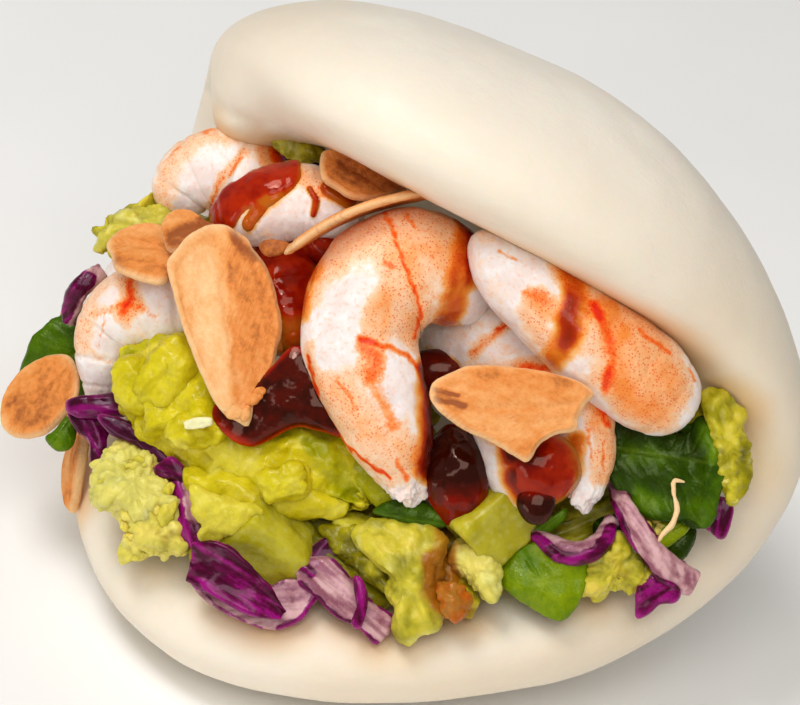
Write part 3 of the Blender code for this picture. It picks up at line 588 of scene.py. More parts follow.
# Shapes of the filling, as in the part: rows of across, up, toward and half size
SHRIMPS = [
    [(-37.6, 14, 14, 3), (-36.4, 17.2, 14, 4.4), (-33.8, 19.2, 14, 5), (-30.6, 19.8, 14, 5.2),
     (-27.4, 18.6, 14, 5), (-25.2, 15, 14, 3.8)],
    [(-31.4, 11.4, 23, 2.6), (-29.2, 13.6, 25, 3.8), (-26.1, 15, 26, 4.4), (-21.8, 15.8, 26, 4.5),
     (-17.8, 15, 26, 4.1), (-14.8, 12.4, 24, 3)],
    [(-31, 0.6, 22, 4.4), (-36.4, 2.6, 22, 5.4), (-41, 2.4, 21, 5.6), (-44.6, 0.2, 19, 5),
     (-46.2, -3.4, 18, 4), (-46.8, -6.8, 17, 2.7), (-47, -9.8, 16, 1.8)],
    [(0.2, 1.2, 28, 5.6), (-3.7, 5.8, 31, 7.3), (-8.5, 6.7, 33, 7.8), (-12.8, 4.2, 34.5, 7.3),
     (-14.2, -1.8, 35, 6.9), (-12.2, -8.2, 35.5, 6.2), (-10.2, -14.2, 35.5, 5.1), (-8.7, -18.9, 35, 3.3),
     (-8.2, -21.6, 35, 2.4)],
    [(-5.6, -1.2, 20, 5.6), (1.2, -1, 25, 6.4), (8.2, -2.6, 28, 6), (12.4, -7.3, 30, 4.8),
     (14.2, -13, 31.5, 3.6), (14.6, -18, 32.5, 2.9), (14, -22.4, 33, 2)],
    [(8.6, -7.4, 29, 3.8), (5.8, -11, 31.5, 4.8), (5.4, -15.4, 32.5, 5), (8, -19, 33, 4.4),
     (11, -20.6, 32.5, 3.2)],
    [(0.2, 11.6, 37, 2.2), (3.4, 8.2, 37, 4.1), (8.4, 3.9, 36.5, 5.2), (14.7, -1.4, 35.5, 5.8),
     (20.3, -5.8, 34, 5.9), (24.2, -8.9, 33, 5.3), (27.3, -11.3, 32, 4.5)],
    [(-22.6, 12.4, 18, 3.4), (-23.8, 7.2, 22, 4.2), (-23.6, 1.6, 25, 4.2), (-22.6, -3.4, 26, 3.4)],
    [(-25.8, 18.1, -4, 3), (-33.9, 14.3, -7, 4.6), (-40.7, 7, -6.7, 5), (-44.2, -1.5, -4, 4),
     (-45.4, -7, -1, 2.6)],
]
# Almond slices: middle, directions along and across, half length and width, point, bow, and place of the cut
WHOLE = 20.0
ALMONDS = [
    ((-31.4, 0.4, 33), (3.5, -25.2, 4.6), (1, 0.12, -0.25), 12, 6.4, 0.3, 0.6, WHOLE),
    ((-38.8, 9.4, 27), (1, -0.12, 0.1), (0.1, 0.75, -0.65), 7.4, 5.4, 0.15, 0.5, WHOLE),
    ((-36.2, 12.2, 29.5), (1, 0.3, 0), (-0.2, 0.8, -0.5), 3.9, 3.3, 0.1, 1, WHOLE),
    ((-54.6, -8.9, 13.5), (0.68, 0.73, 0), (0.6, -0.55, 0.5), 6.1, 4.5, 0.12, 0.3, WHOLE),
    ((-14.5, 14.6, 36.5), (0.93, 0.36, -0.1), (0, 0.05, 1), 9.6, 5, 0.1, -1.5, WHOLE),
    ((-14, 18.8, 31), (0.8, -0.5, 0.1), (0.45, 0.7, -0.5), 6.6, 4.2, 0.1, 0.4, WHOLE),
    ((5.2, -10.8, 41), (1, 0.02, -0.1), (-0.05, 1, -0.35), 10.4, 5.9, -0.15, 0.5, 7.4),
    ((-50.3, -18, 14.5), (-0.12, -1, 0.1), (0.5, 0, 0.85), 5.2, 1.8, 0.2, 0.5, WHOLE),
    ((-49, -3.4, -5), (0.3, -0.5, 0.8), (-0.3, 0.8, 0.5), 8, 5.2, 0.2, 0.5, WHOLE),
]
# Courses of the mash, the sauce drop and the left leaf
MASH = [(-44.6, -4, 23.5, 3.4), (-39.4, -6.4, 26, 6.4), (-33, -11, 27.5, 8), (-26, -15, 28.5, 7.8),
        (-19, -18.4, 29.5, 6.2), (-13, -22.4, 31, 2.8)]
DROP = [(-2.4, -12.6, 30.5, 2.8), (-2.2, -17, 33, 4), (-2.2, -21.2, 33.5, 3.8), (-2.8, -24.8, 33.5, 2.2)]
LEFT_LEAF = [(-42, -4, 9, 3), (-47, -2.4, 9.4, 5), (-52, -4.4, 9, 5), (-57, -7.2, 8, 2)]
# Cucumber cubes: middle, size and turns in degrees
CUBES = [
    ((-25.8, -26.8, 31), (9.6, 7.4, 7), (35, 20, -40)),
    ((-14.5, -28.4, 30), (7.4, 8, 5), (25, -20, -25)),
    ((2.4, -24.8, 32), (8.6, 7.6, 5.4), (30, 15, 40)),
]

# Dough, as in the part
HALF_WIDTH = 48.0
FRONT_REACH = 59.9
TOP_REACH = 53.1
DOUGH_THICK = 19.1
OUTLINE_POWER = 1.84
RIM_POWER = 4.9
FOLD_RADIUS = 26.5
MOUTH_OPEN = 41.9
FOLD_SPREAD = 0.62
FOLD_STEPS = 640
TOP_CURL = 0.0095
LOBE_CUP = 9.6
CUP_REACH = 30.0
TOP_PUFF = 1.4
PUFF_REACH = 12.0
SHOULDER = (1.9, 22.0, 24.0, 21.0, 21.0)
SHOULDER_POWER = 8
LIP = (6.0, -28.0, 37.0, 9.0, 9.0)
LIP_EASE = 0.35
HEEL = (5.0, 0.0, -17.0, 27.0, 10.0)
LEVEL_AT = 0.5


def fold_profile():
    """Mid-line of the dough in side view: rows of reach, slope, y and z."""
    turn = math.pi - math.radians(MOUTH_OPEN)
    spread = FOLD_SPREAD * FOLD_RADIUS * turn
    step = (FRONT_REACH + TOP_REACH) / FOLD_STEPS
    s = -FRONT_REACH + step * np.arange(FOLD_STEPS + 1)
    bend = np.where(np.abs(s) < spread, turn / spread * 0.5 * (1.0 + np.cos(math.pi * s / spread)), 0.0)
    bend = bend + np.where(s > 0.0, TOP_CURL, 0.0)
    slope = np.append(0.0, np.cumsum(bend[:-1] * step))
    slope = slope - slope[np.argmin(np.abs(s + LEVEL_AT * FRONT_REACH))]
    middle = 0.5 * (slope[1:] + slope[:-1])
    y = np.append(0.0, np.cumsum(np.cos(middle) * step))
    z = np.append(0.0, np.cumsum(np.sin(middle) * step))
    centre = np.argmin(np.abs(s))
    return s, slope, y - y[centre], z - z[centre]


PROFILE = fold_profile()


def swell_at(across, along, size, x, s, wide, long):
    """Round swelling of the dough: its size, place and reach."""
    return size * np.exp(-(((across - x) / wide) ** 2) - ((along - s) / long) ** 2)


def dough(rings, sides):
    """The folded bun; field rim runs from 0 in the middle of the disc to 1 at its edge."""
    polar, turn, faces = ball(rings, sides)
    ring = np.minimum(1.0, np.sin(polar))
    c, s = np.cos(turn), np.sin(turn)
    power = 2.0 / OUTLINE_POWER
    across = HALF_WIDTH * ring * np.copysign(np.abs(c) ** power, c)
    along = np.where(s > 0.0, TOP_REACH, FRONT_REACH) * ring * np.copysign(np.abs(s) ** power, s)
    half = 0.5 * DOUGH_THICK * np.sqrt(np.maximum(0.0, 1.0 - ring ** RIM_POWER))
    slope, y, z = (np.interp(along, PROFILE[0], row) for row in PROFILE[1:])
    under = np.cos(polar) < 0.0
    cup = LOBE_CUP * (1.0 - (across / HALF_WIDTH) ** 2) * smooth(np.abs(along) / CUP_REACH)
    off = np.where(under, -half, half) - cup
    outer = swell_at(across, along, *SHOULDER) * (1.0 - ring ** SHOULDER_POWER)
    outer += TOP_PUFF * (1.0 - ring * ring) * smooth(along / PUFF_REACH) + swell_at(across, along, *HEEL)
    inner = swell_at(across, along, *LIP) * smooth(np.cos(polar) / LIP_EASE)
    off = off + np.where(under, -outer, inner)
    points = np.stack([across, HINGE[1] + y - off * np.sin(slope),
                       HINGE[2] + z + off * np.cos(slope)], axis=1)
    return Form(points, faces, rim=ring).outward()


# Creases of the dough: depth, then the pixels of a line
CREASES = [(0.5, 204, 88, 214, 104, 232, 116, 262, 126), (0.25, 744, 434, 752, 450, 757, 470)]
CREASE_WIDE = 5.0

bun = dough(130, 260).rough((0.3, 17.0, 3, 4), (0.02, 1.6, 3, 9))
u, v = bun.pixels()
creases = [depth * bell(far_from(line, u, v), CREASE_WIDE) for depth, *line in CREASES]
bun.push(-np.max(creases, axis=0) * smooth(bun.facing(), 0.0, 0.3))
bun.points[:, 2] = np.maximum(bun.points[:, 2], 0.0)
# Painted warm shade on the dough by the fold, along the lower rim and along the upper left edge
bun.fields["painted_shade"] = strokes(bun, [
    (62, 1.0, 0.28, 720, 330, 775, 420, 765, 500, 700, 590), (26, 1.0, 0.36, 735, 420, 755, 470),
    (34, 1.0, 0.3, 620, 640, 480, 690, 330, 690), (34, 1.0, 0.25, 208, 96, 220, 50, 262, 16, 340, 4)], 0.0)


# Shrimps
SHRIMP_SEGMENTS = 6
SHRIMP_FLAT = 0.88
HIDDEN_SHRIMP = 9


def shrimp(number, rows, tail, ringed, grid, orange, red, glaze):
    """Peeled shrimp with rings, muscle lines and a ragged tail end, its orange skin, red ink and sauce."""
    seed = 30 + number
    form = tube(rows, *grid, flat=SHRIMP_FLAT)
    t, turn = form.fields["t"], form.fields["turn"]
    here = course_frame(rows, t)[0]
    belly = np.sum(unit(form.points - here) * unit(here.mean(axis=0) - here), axis=1)
    part_way = (t * SHRIMP_SEGMENTS + 0.25 * belly + 0.12 * fractal(form.points, 5.0, 2, seed)) % 1.0
    step = smooth(part_way, 0.0, 0.12) * (1.0 - smooth(part_way, 0.86, 1.0))
    strands = np.stack([t * 16.0, np.cos(turn) * 4.0, np.sin(turn) * 4.0], axis=1)
    relief = ringed * (step - 0.6) * smooth((1.0 - t) * 6.0) * smooth(t * 8.0)
    relief += 0.1 * fractal(strands, 1.0, 3, seed) + 0.22 * fractal(form.points, 4.5, 2, seed + 2)
    relief -= 0.4 * bell(belly - 1.0, 0.14)
    ragged = smooth(t, 1.0 - tail, 1.0) if tail else 0.0 * t
    relief += ragged * (1.5 * fractal(form.points, 1.7, 4, seed + 4) + 0.4)
    form.push(relief)
    hidden = 1.0 - smooth(form.facing(), -0.25, 0.15)
    back = 0.9 if number == HIDDEN_SHRIMP else 0.55
    own = back * smooth(-belly + 0.5 * fractal(form.points, 5.0, 3, 60 + number), 0.0, 0.9)
    skin = (own * (0.04 + 0.7 * hidden) + strokes(form, orange, 4.0, 2.0)) * (1.0 - ragged)
    ink = strokes(form, [(0.9 * wide, 1.0, amount, *line) for wide, amount, *line in red], 2.0, 1.2)
    form.fields = {"orange": np.clip(skin, 0.0, 1.2), "red": np.clip(ink, 0.0, 1.2),
                   "glaze": np.clip(strokes(form, glaze, 3.0, 3.0), 0.0, 1.2)}
    return form


# For each shrimp: tail share, ring depth, grid, then marks of orange skin, of red ink, which have no
# softness of their own, and of sauce
SHRIMP_PAINT = [
    (0, 0.2, (110, 80),
     [(12, 0.8, 0.33, 160, 205, 166, 172, 182, 148, 205, 134, 245, 131),
      (4, 0.8, 0.45, 245, 152, 217, 187, 210, 207), (12, 0.6, 0.8, 268, 150, 278, 172),
      (9, 0.8, 0.12, 178, 208, 203, 214), (10, 0.9, 0.12, 250, 150, 252, 190)],
     [(1.3, 0.6, 243, 157, 217, 187, 211, 205), (5, 0.6, 274, 152, 282, 170),
      (1.5, 0.4, 166, 160, 180, 146), (2, 0.5, 200, 131, 212, 130)],
     [(7, 0.9, 0.35, 278, 150, 286, 176)]),
    (0, 0.1, (120, 84),
     [(11, 0.7, 0.5, 300, 174, 345, 192), (8, 0.8, 0.15, 262, 236, 296, 240)],
     [(6, 0.6, 326, 190, 346, 202), (3, 0.4, 270, 200, 256, 222)],
     [(13, 0.35, 0.9, 221, 222, 238, 197, 262, 180, 288, 173), (8, 0.6, 0.4, 250, 226, 262, 203, 288, 184),
      (3.4, 0.6, 0.6, 311, 189, 316, 199, 312, 214), (10, 0.7, 0.5, 332, 190, 348, 198)]),
    (0.1, 0.2, (130, 90),
     [(13, 0.8, 0.34, 80, 340, 84, 302, 106, 266), (15, 0.8, 0.1, 130, 318, 140, 346),
      (10, 0.8, 0.6, 128, 282, 133, 300, 124, 314), (4, 0.8, 0.35, 97, 315, 123, 303, 144, 307),
      (9, 0.8, 0.06, 166, 308, 174, 322), (6, 0.9, 0.2, 90, 350, 110, 362)],
     [(4, 0.9, 130, 283, 131, 298, 123, 312), (1.2, 0.5, 98, 316, 124, 304, 140, 307),
      (1.2, 0.35, 105, 320, 97, 346), (1.4, 0.35, 140, 307, 158, 318)],
     []),
    (0.13, 0.1, (200, 140),
     [(27, 0.5, 0.42, 330, 252, 358, 234, 400, 228, 440, 230, 458, 250),
      (24, 0.5, 0.28, 425, 262, 442, 300, 428, 335), (22, 0.5, 0.42, 398, 270, 406, 322),
      (13, 0.5, 0.5, 378, 300, 373, 345, 372, 372), (13, 0.6, 0.4, 311, 268, 308, 298),
      (26, 0.5, 0.33, 330, 402, 350, 432, 375, 455, 395, 466), (19, 0.5, 0.22, 345, 384, 372, 424),
      (6, 0.8, 0.35, 310, 350, 318, 384), (12, 0.8, 0.3, 400, 430, 410, 455)],
     [(2, 0.85, 382, 208, 390, 222, 397, 245, 408, 275, 418, 298, 420, 315, 414, 338),
      (1.4, 0.7, 405, 211, 416, 227), (2.6, 0.9, 360, 338, 387, 347, 407, 355, 419, 368),
      (8, 0.6, 364, 345, 378, 360, 371, 378), (6, 0.55, 376, 393, 388, 410, 393, 425),
      (1.6, 0.5, 337, 378, 357, 408), (2.2, 0.7, 396, 460, 408, 480),
      (1.5, 1.2, 307, 356, 322, 408, 343, 442, 367, 462, 391, 478), (3, 0.6, 385, 262, 393, 268),
      (2, 0.5, 300, 318, 303, 290, 312, 262)],
     [(12, 0.7, 0.56, 468, 224, 464, 262, 454, 300, 441, 342, 430, 364), (7, 0.8, 0.3, 476, 236, 474, 285),
      (9, 1, 0.5, 318, 243, 303, 284, 299, 312), (14, 0.8, 1, 434, 392, 436, 432, 430, 468),
      (9, 0.8, 0.8, 428, 370, 438, 384)]),
    (0.13, 0.12, (140, 96),
     [(5, 0.9, 0.4, 515, 319, 490, 337, 473, 353), (8, 0.8, 0.6, 523, 366, 563, 368, 590, 385),
      (13, 0.5, 0.5, 600, 393, 607, 430, 603, 474), (9, 0.7, 0.45, 585, 388, 592, 420),
      (8, 0.9, 0.2, 470, 366, 520, 372), (36, 1, 0.14, 450, 310, 500, 345)],
     [(2.2, 0.9, 515, 319, 500, 330), (1.5, 0.5, 500, 330, 473, 353),
      (3.2, 0.8, 523, 366, 563, 368, 592, 386), (3, 0.9, 596, 394, 608, 426),
      (1.8, 0.5, 588, 430, 592, 458), (1.5, 0.4, 603, 440, 604, 470)],
     [(14, 0.8, 0.9, 422, 366, 446, 374), (9, 0.8, 0.55, 576, 440, 572, 474)]),
    (0, 0.1, (90, 70),
     [(14, 0.7, 0.3, 500, 430, 560, 430), (6, 0.9, 0.2, 480, 436, 500, 440)],
     [],
     [(22, 0.4, 0.9, 520, 446, 560, 448, 562, 478, 528, 484), (8, 0.8, 0.3, 505, 440, 505, 480)]),
    (0, 0.07, (180, 110),
     [(8, 0.9, 0.2, 478, 236, 490, 236), (11, 0.7, 0.65, 537, 297, 547, 306),
      (14, 0.6, 0.4, 530, 318, 547, 342), (12, 0.6, 0.45, 560, 268, 590, 292, 604, 306),
      (37, 0.5, 0.64, 628, 332, 642, 362, 650, 386), (10, 0.9, 0.2, 613, 346, 622, 388),
      (14, 0.5, 0.3, 602, 312, 618, 332), (12, 0.9, 0.2, 668, 372, 680, 392),
      (14, 0.9, 0.36, 606, 382, 634, 408, 662, 420), (13, 0.7, 0.12, 562, 300, 588, 350, 592, 370),
      (8, 0.9, 0.14, 480, 262, 500, 300)],
     [(5, 0.6, 594, 305, 609, 336, 613, 363, 606, 390), (3.5, 0.6, 608, 368, 604, 388),
      (2.4, 0.7, 640, 331, 670, 353), (4.5, 0.7, 594, 305, 601, 316), (1.8, 0.5, 500, 251, 516, 259),
      (1.8, 0.6, 688, 368, 695, 380), (5.5, 0.45, 528, 292, 545, 300)],
     [(14, 0.7, 0.5, 572, 276, 577, 308, 568, 338, 554, 358), (9, 0.9, 0.3, 570, 300, 564, 340)]),
    (0, 0.1, (90, 70),
     [(22, 0.6, 0.6, 290, 300, 296, 348)],
     [],
     [(22, 0.6, 0.95, 265, 246, 292, 260, 292, 288), (16, 0.8, 0.42, 290, 296, 296, 345)]),
    (0.1, 0.25, (80, 60),
     [],
     [],
     []),
]
shrimps = [shrimp(number, rows, *paint) for number, (rows, paint) in enumerate(zip(SHRIMPS, SHRIMP_PAINT), 1)]

# Almond slices: outlines in the picture, marks of toast, some of them painted shade, and how dark each is
# toasted
ALMOND_EDGES = {
    1: (217, 223, 230, 225, 247, 237, 253, 248, 267, 267, 277, 297, 282, 327, 278, 347, 272, 373, 261, 388,
        266, 403, 255, 410, 249, 426, 240, 421, 227, 415, 213, 397, 197, 363, 185, 333, 178, 310, 173, 290,
        168, 263, 177, 248, 187, 236, 200, 227),
    2: (107, 243, 114, 233, 126, 227, 150, 225, 172, 234, 182, 256, 172, 272, 165, 282, 150, 283, 130, 276,
        115, 268, 111, 255),
    3: (160, 225, 168, 215, 180, 211, 194, 213, 207, 221, 218, 224, 212, 234, 196, 240, 184, 248, 174, 251,
        166, 247, 162, 236),
    4: (2, 417, 5, 397, 20, 373, 40, 360, 63, 355, 75, 362, 80, 383, 75, 403, 60, 422, 40, 437, 17, 438, 5,
        430),
    6: (322, 152, 340, 152, 373, 163, 407, 181, 402, 190, 380, 198, 353, 198, 335, 187, 322, 176),
    7: (430, 392, 438, 378, 470, 366, 505, 367, 545, 372, 575, 380, 594, 392, 585, 404, 579, 418, 577, 429,
        558, 433, 545, 440, 537, 448, 528, 462, 515, 456, 490, 441, 460, 426, 438, 408),
}
TOASTED = [
    # On the first slice, the thin darker line along the cleft is painted shade
    [(24, 0.2, 0.3, 249, 250, 259, 300, 253, 385), (2.5, 0.9, 0.16, 229, 262, 231, 320, 234, 372),
     (17, 0.4, -0.2, 200, 262, 207, 320, 222, 380), (5, 0.8, 0.3, 230, 232, 252, 256)],
    [(10, 0.8, 0.25, 118, 262, 168, 268), (8, 0.8, 0.15, 120, 240, 160, 245)],
    [(10, 0.8, 0.45, 172, 238, 205, 225)],
    [(24, 0.5, 0.42, 30, 408, 54, 380)],
    [(3, 0.9, 0.15, 300, 236, 420, 196)],
    # The sixth slice is darker where its face runs in under the bun: partly browner toast, partly painted
    # shade
    [(14, 0.8, 0.35, 345, 170, 385, 185)],
    [(2.5, 0.9, 0.5, 434, 390, 458, 394), (3.5, 0.9, 0.55, 436, 398, 464, 405),
     (10, 0.9, 0.15, 470, 380, 560, 385), (8, 0.8, 0.15, 520, 455, 535, 440)],
    [(4, 0.9, 0.3, 66, 500, 80, 440)],
    [],
]
OWN_TOAST = (0.44, 0.54, 0.6, 0.46, 0.68, 0.6, 0.58, 0.54, 0.5)
ALMOND_THICK = 1.4
THIN, THIN_THICK = 5, 0.9
# Crumbs at the broken end of the first slice: pixel, half sizes and tilt
KNOBS = [(254, 399, (1.1, 0.7, 0.5), 30.0), (246, 413, (1.0, 0.6, 0.5), 70.0),
         (234, 412, (1.2, 0.8, 0.5), 0.0), (260, 391, (0.7, 0.5, 0.4), 20.0)]
KNOB_TOWARD = 35.1
# The two large slices have a finer grid
LARGE = (1, 7)
LARGE_GRID, SMALL_GRID = (60, 170), (36, 110)
almonds = []
for number, (row, own, marks) in enumerate(zip(ALMONDS, OWN_TOAST, TOASTED), 1):
    grid = LARGE_GRID if number in LARGE else SMALL_GRID
    thick = THIN_THICK if number == THIN else ALMOND_THICK
    form = almond(*row, ALMOND_EDGES.get(number), thick, number, *grid)
    if number == 1:
        knobs = [lump(pixel_place(u, v, KNOB_TOWARD), sizes, tilt, 16, 24) for u, v, sizes, tilt in KNOBS]
        for knob in knobs:
            knob.rough((0.25, 1.0, 2, 78)).fields = {"rim": 0.25}
        form = joined([form, *knobs])
    form.fields["toast"] = own + 0.14 * fractal(form.points, 5.0, 3, 77) + strokes(form, marks, 2.0, 2.0)
    almonds.append(form)

# Avocado mash, with a crumbly chunk and lumps on it
mash = tube(MASH, 160, 130, flat=0.62, blunt=5.0)
turn = mash.fields["turn"]
flow = np.stack([6.0 * mash.fields["t"], 1.2 * np.cos(turn), 1.2 * np.sin(turn)], axis=1)
mash.push(1.9 * fractal(flow, 1.0, 2, 3) - 0.4)
mash.push(1.0 * fractal(mash.points, 5.0, 3, 21) - 0.35 * bell(noise(mash.points, 5.5, 25), 0.12)
          + 0.4 * fractal(mash.points, 1.6, 3, 28) + 0.24 * ridged(mash.points, 1.3, 2, 29)
          - 0.9 * strokes(mash, [(34, 0.4, 1.0, 240, 424, 275, 400, 300, 370)]))
# Lumps: pixel with distance toward the viewer, half sizes, tilt and how boxy
LUMPS = [
    ((284, 482, 34.2), (2.7, 1.9, 2.4), 12.0, 5.0), ((168, 372, 28.8), (4.6, 3.0, 2.6), 48.0, 2.6),
    ((136, 386, 27.6), (2.6, 3.6, 2.4), 20.0, 2.2), ((196, 430, 31.8), (3.6, 2.2, 1.6), 8.0, 2.2),
]
lumps = [lump(pixel_place(*place), sizes, tilt, 34, 50, box) for place, sizes, tilt, box in LUMPS]
for number, form in enumerate(lumps):
    form.push(0.6 * fractal(form.points, 2.6, 3, 40 + number) + 0.4 * ridged(form.points, 1.3, 2, number))
skirt = tube(pixel_course((184, 470, 29.5, 1.0), (206, 486, 30.4, 2.0), (235, 493, 31.2, 2.3),
                          (270, 501, 31.6, 2.2), (312, 502, 31.6, 2.2), (350, 508, 31.6, 1.4)),
             70, 40, flat=0.8)
lumps.append(skirt.rough((0.6, 2.6, 3, 47)))
chunk = plate((191, 485, 208, 491, 230, 497, 257, 508, 261, 517, 247, 530, 225, 538, 212, 543, 200, 536,
               203, 525, 193, 511), 34.2, (0.0, -0.2), 2.6, 0.8, 0.4, 0.05, 51, 34, 120, rim_power=5.0)
chunk.push(0.5 * fractal(chunk.points, 2.2, 2, 51) + 0.3 * ridged(chunk.points, 1.6, 1, 52))
green_slice = tube([(-16.0, -14.6, 29, 2.0), (-12.6, -18.4, 31, 2.6), (-9.4, -22.4, 32, 1.8)], 40, 40,
                   flat=0.7)
green_slice.rough((0.4, 2.4, 3, 53))
for form, green, pale in [(mash, 0.0, 0.0), (chunk, 0.0, 0.4), (green_slice, 0.8, 0.1),
                          *((form, 0.0, 0.1) for form in lumps)]:
    form.fields = {"green": green + 0.5 * smooth(fractal(form.points, 6.0, 3, 33), 0.1, 0.9),
                   "pale": pale + 0.5 * smooth(fractal(form.points, 3.5, 3, 35), 0.2, 0.9)}
mash.fields["green"] += strokes(mash, [
    (9, 0.9, 0.6, 122, 365, 150, 338, 178, 332), (8, 0.9, 0.5, 126, 372, 132, 405),
    (8, 0.9, 0.6, 190, 486, 250, 502, 330, 510), (8, 0.8, 0.6, 285, 435, 318, 446),
    (16, 0.8, 0.7, 320, 450, 350, 490), (12, 0.8, 0.4, 270, 490, 350, 500),
    (8, 0.9, 0.3, 150, 400, 170, 440)], 4.0, 2.0)
# The first pale stroke, at the upper left, is partly paler mash and partly a painted highlight
mash.fields["pale"] += strokes(mash, [
    (12, 0.9, 0.6, 140, 380, 152, 362, 190, 350), (12, 0.9, 0.45, 190, 440, 250, 465),
    (2.5, 0.9, 0.5, 165, 440, 200, 480, 235, 500)], 4.0, 2.0)
flake = lump(pixel_place(198, 423, 34.4), (1.7, 0.62, 0.35), 9.0, 16, 24, box=4.0).rough((0.22, 1.2, 2, 55))
flake.fields = {"green": 0.0, "pale": 1.42}

# Salad: a core as in the part, then lettuce, crumbly pieces, green leaves and cabbage over it
CORE = [
    [(-40.7, -19.3, 19.5, 2.6), (-28.1, -25.6, 25.5, 3), (-9.2, -29, 27.5, 3.4), (8.4, -26.5, 25.5, 3.4),
     (21, -23, 25, 3.2), (28.6, -17, 26, 2.4)],
    [(-30, -4, 10, 6), (-36, -12, 15, 5.6), (-38, -20, 20, 3.4)],
    [(-12, -6, 15, 7), (-12, -16, 19, 7), (-12, -27, 26, 3.9)],
    [(14, -8, 17, 6), (14, -17, 21, 6), (12, -26, 26, 3.9)],
    [(-42, -14, 18, 1.8), (-42.2, -19.6, 21, 3), (-40.2, -24, 23, 3), (-37.4, -27.2, 25, 1.8)],
    [(20, -6, 19, 5), (28, -10, 26, 3.4), (31, -15, 28.6, 2.4), (30.6, -19.8, 27, 1.6)],
    [(-28, 8, 7, 6), (-35, 9, 11, 4.6), (-40, 8, 13, 3)],
    [(-24, 8, -5, 7), (-36, 5, -9, 6.4), (-43, -2, -7, 5.4), (-43, -10, 4, 4)],
]
# Sauce run into the lettuce
STAINS = [(12, 0.9, 0.8, 446, 530, 446, 556, 440, 580), (17, 0.9, 0.9, 440, 580, 452, 600, 456, 612),
          (10, 0.9, 0.5, 432, 560, 436, 600), (9, 0.9, 0.3, 612, 560, 622, 572),
          (12, 0.9, 0.2, 150, 520, 176, 540)]


def crinkled(form, seed, coarse, fine, tone, pale):
    """Puckered lettuce surface, with its fields of colour."""
    both = 1.0 - 2.0 * form.fields["under"] if "under" in form.fields else 1.0
    form.push(both * coarse * fractal(form.points, 3.4, 2, seed))
    form.push(both * fine * (2.2 * ridged(form.points, 2.2, 2, seed + 3) - 0.6))
    form.fields = {"tone": tone + 0.42 * fractal(form.points, 3.4, 3, seed + 5),
                   "pale": pale + 0.6 * smooth(fractal(form.points, 2.4, 3, seed + 7), 0.0, 0.9),
                   "stain": strokes(form, STAINS, 4.0, 2.0)}
    return form


# The core's darker tone is painted shade where it shows between the pieces
core = crinkled(joined([tube(rows, 40, 40, flat=0.6, blunt=4.0) for rows in CORE]), 61, 1.1, 0.7, 0.3, 0.0)

# Lettuce: outline in the picture, depth, lean, thickness, dome, wave, jag, then relief, tone and paleness
LETTUCE = [
    ((352, 530, 367, 520, 400, 518, 433, 530, 447, 541, 441, 563, 440, 587, 443, 612, 436, 629, 423, 634,
     413, 643, 399, 642, 396, 628, 395, 610, 386, 597, 389, 577, 373, 560, 359, 547), 34.2, (0, 0.12), 2.4,
     1.8, 0.5, 0.03, 0.5, 0.3, 0.48, 0.15),
    ((322, 528, 340, 522, 362, 526, 380, 556, 390, 577, 386, 594, 367, 578, 343, 561, 331, 545), 32.6,
     (0.1, 0.2), 2, 0.8, 0.6, 0.04, 0.5, 0.3, 0.12, -0.1),
    ((453, 543, 467, 538, 487, 549, 500, 566, 503, 586, 493, 602, 482, 598, 473, 584, 452, 569), 33.2,
     (0, 0.1), 2, 1, 0.5, 0.06, 0.4, 0.35, 0.6, 0.5),
    ((703, 392, 720, 390, 738, 402, 744, 428, 749, 448, 752, 470, 745, 488, 734, 508, 723, 498, 716, 480,
     712, 450, 704, 425), 30, (-0.2, 0.1), 1.2, 1.4, 1.3, 0.04, 0.6, 0.4, 0.48, 0),
    ((573, 570, 597, 557, 623, 541, 642, 562, 650, 572, 640, 585, 617, 588, 598, 599, 583, 593), 30.2,
     (0, 0.1), 3, 1.6, 0.9, 0.07, 0.7, 0.5, 0.5, 0.15),
    ((94, 478, 104, 455, 114, 443, 130, 440, 157, 455, 176, 492, 178, 514, 145, 522, 118, 514, 92, 503),
     27, (0.1, 0.55), 3.4, 2, 0.9, 0.07, 0.8, 0.55, 0.6, 0.6),
    ((118, 512, 145, 508, 178, 512, 190, 530, 190, 551, 170, 554, 148, 553, 124, 563, 119, 546, 128, 530),
     29.2, (0.1, 0.2), 3, 1.6, 0.9, 0.08, 0.7, 0.55, 0.75, 0.4),
    ((95, 250, 100, 230, 112, 216, 135, 206, 158, 207, 172, 214, 165, 226, 135, 236, 112, 246), 15.5,
     (0, 0.2), 1.2, 1.4, 1, 0.05, 0.5, 0.5, 0.5, 0.3),
    ((268, 134, 276, 127, 292, 130, 318, 144, 322, 158, 300, 162, 282, 156), 19, (0, 0.2), 1.4, 1, 0.6,
     0.04, 0.4, 0.3, 0.35, 0.1),
    ((612, 440, 608, 470, 612, 500, 625, 520, 640, 512, 640, 470, 630, 440), 26.5, (0, 0), 1.4, 1, 0.6,
     0.04, 0.4, 0.3, 0.2, 0),
    ((188, 548, 205, 540, 240, 548, 270, 575, 262, 590, 225, 580, 200, 566), 30.4, (0, 0.3), 2, 0.6, 0.5,
     0.04, 0.5, 0.3, 0.2, 0),
    ((300, 540, 322, 532, 345, 545, 372, 575, 388, 600, 372, 606, 345, 590, 318, 570), 30.8, (0, 0.3), 2.2,
     0.6, 0.5, 0.04, 0.5, 0.3, 0.05, -0.2),
    ((430, 560, 450, 556, 466, 580, 478, 604, 462, 616, 440, 610, 432, 588), 32, (0, 0.1), 2, 0.8, 0.5,
     0.04, 0.4, 0.3, 0.5, 0),
]
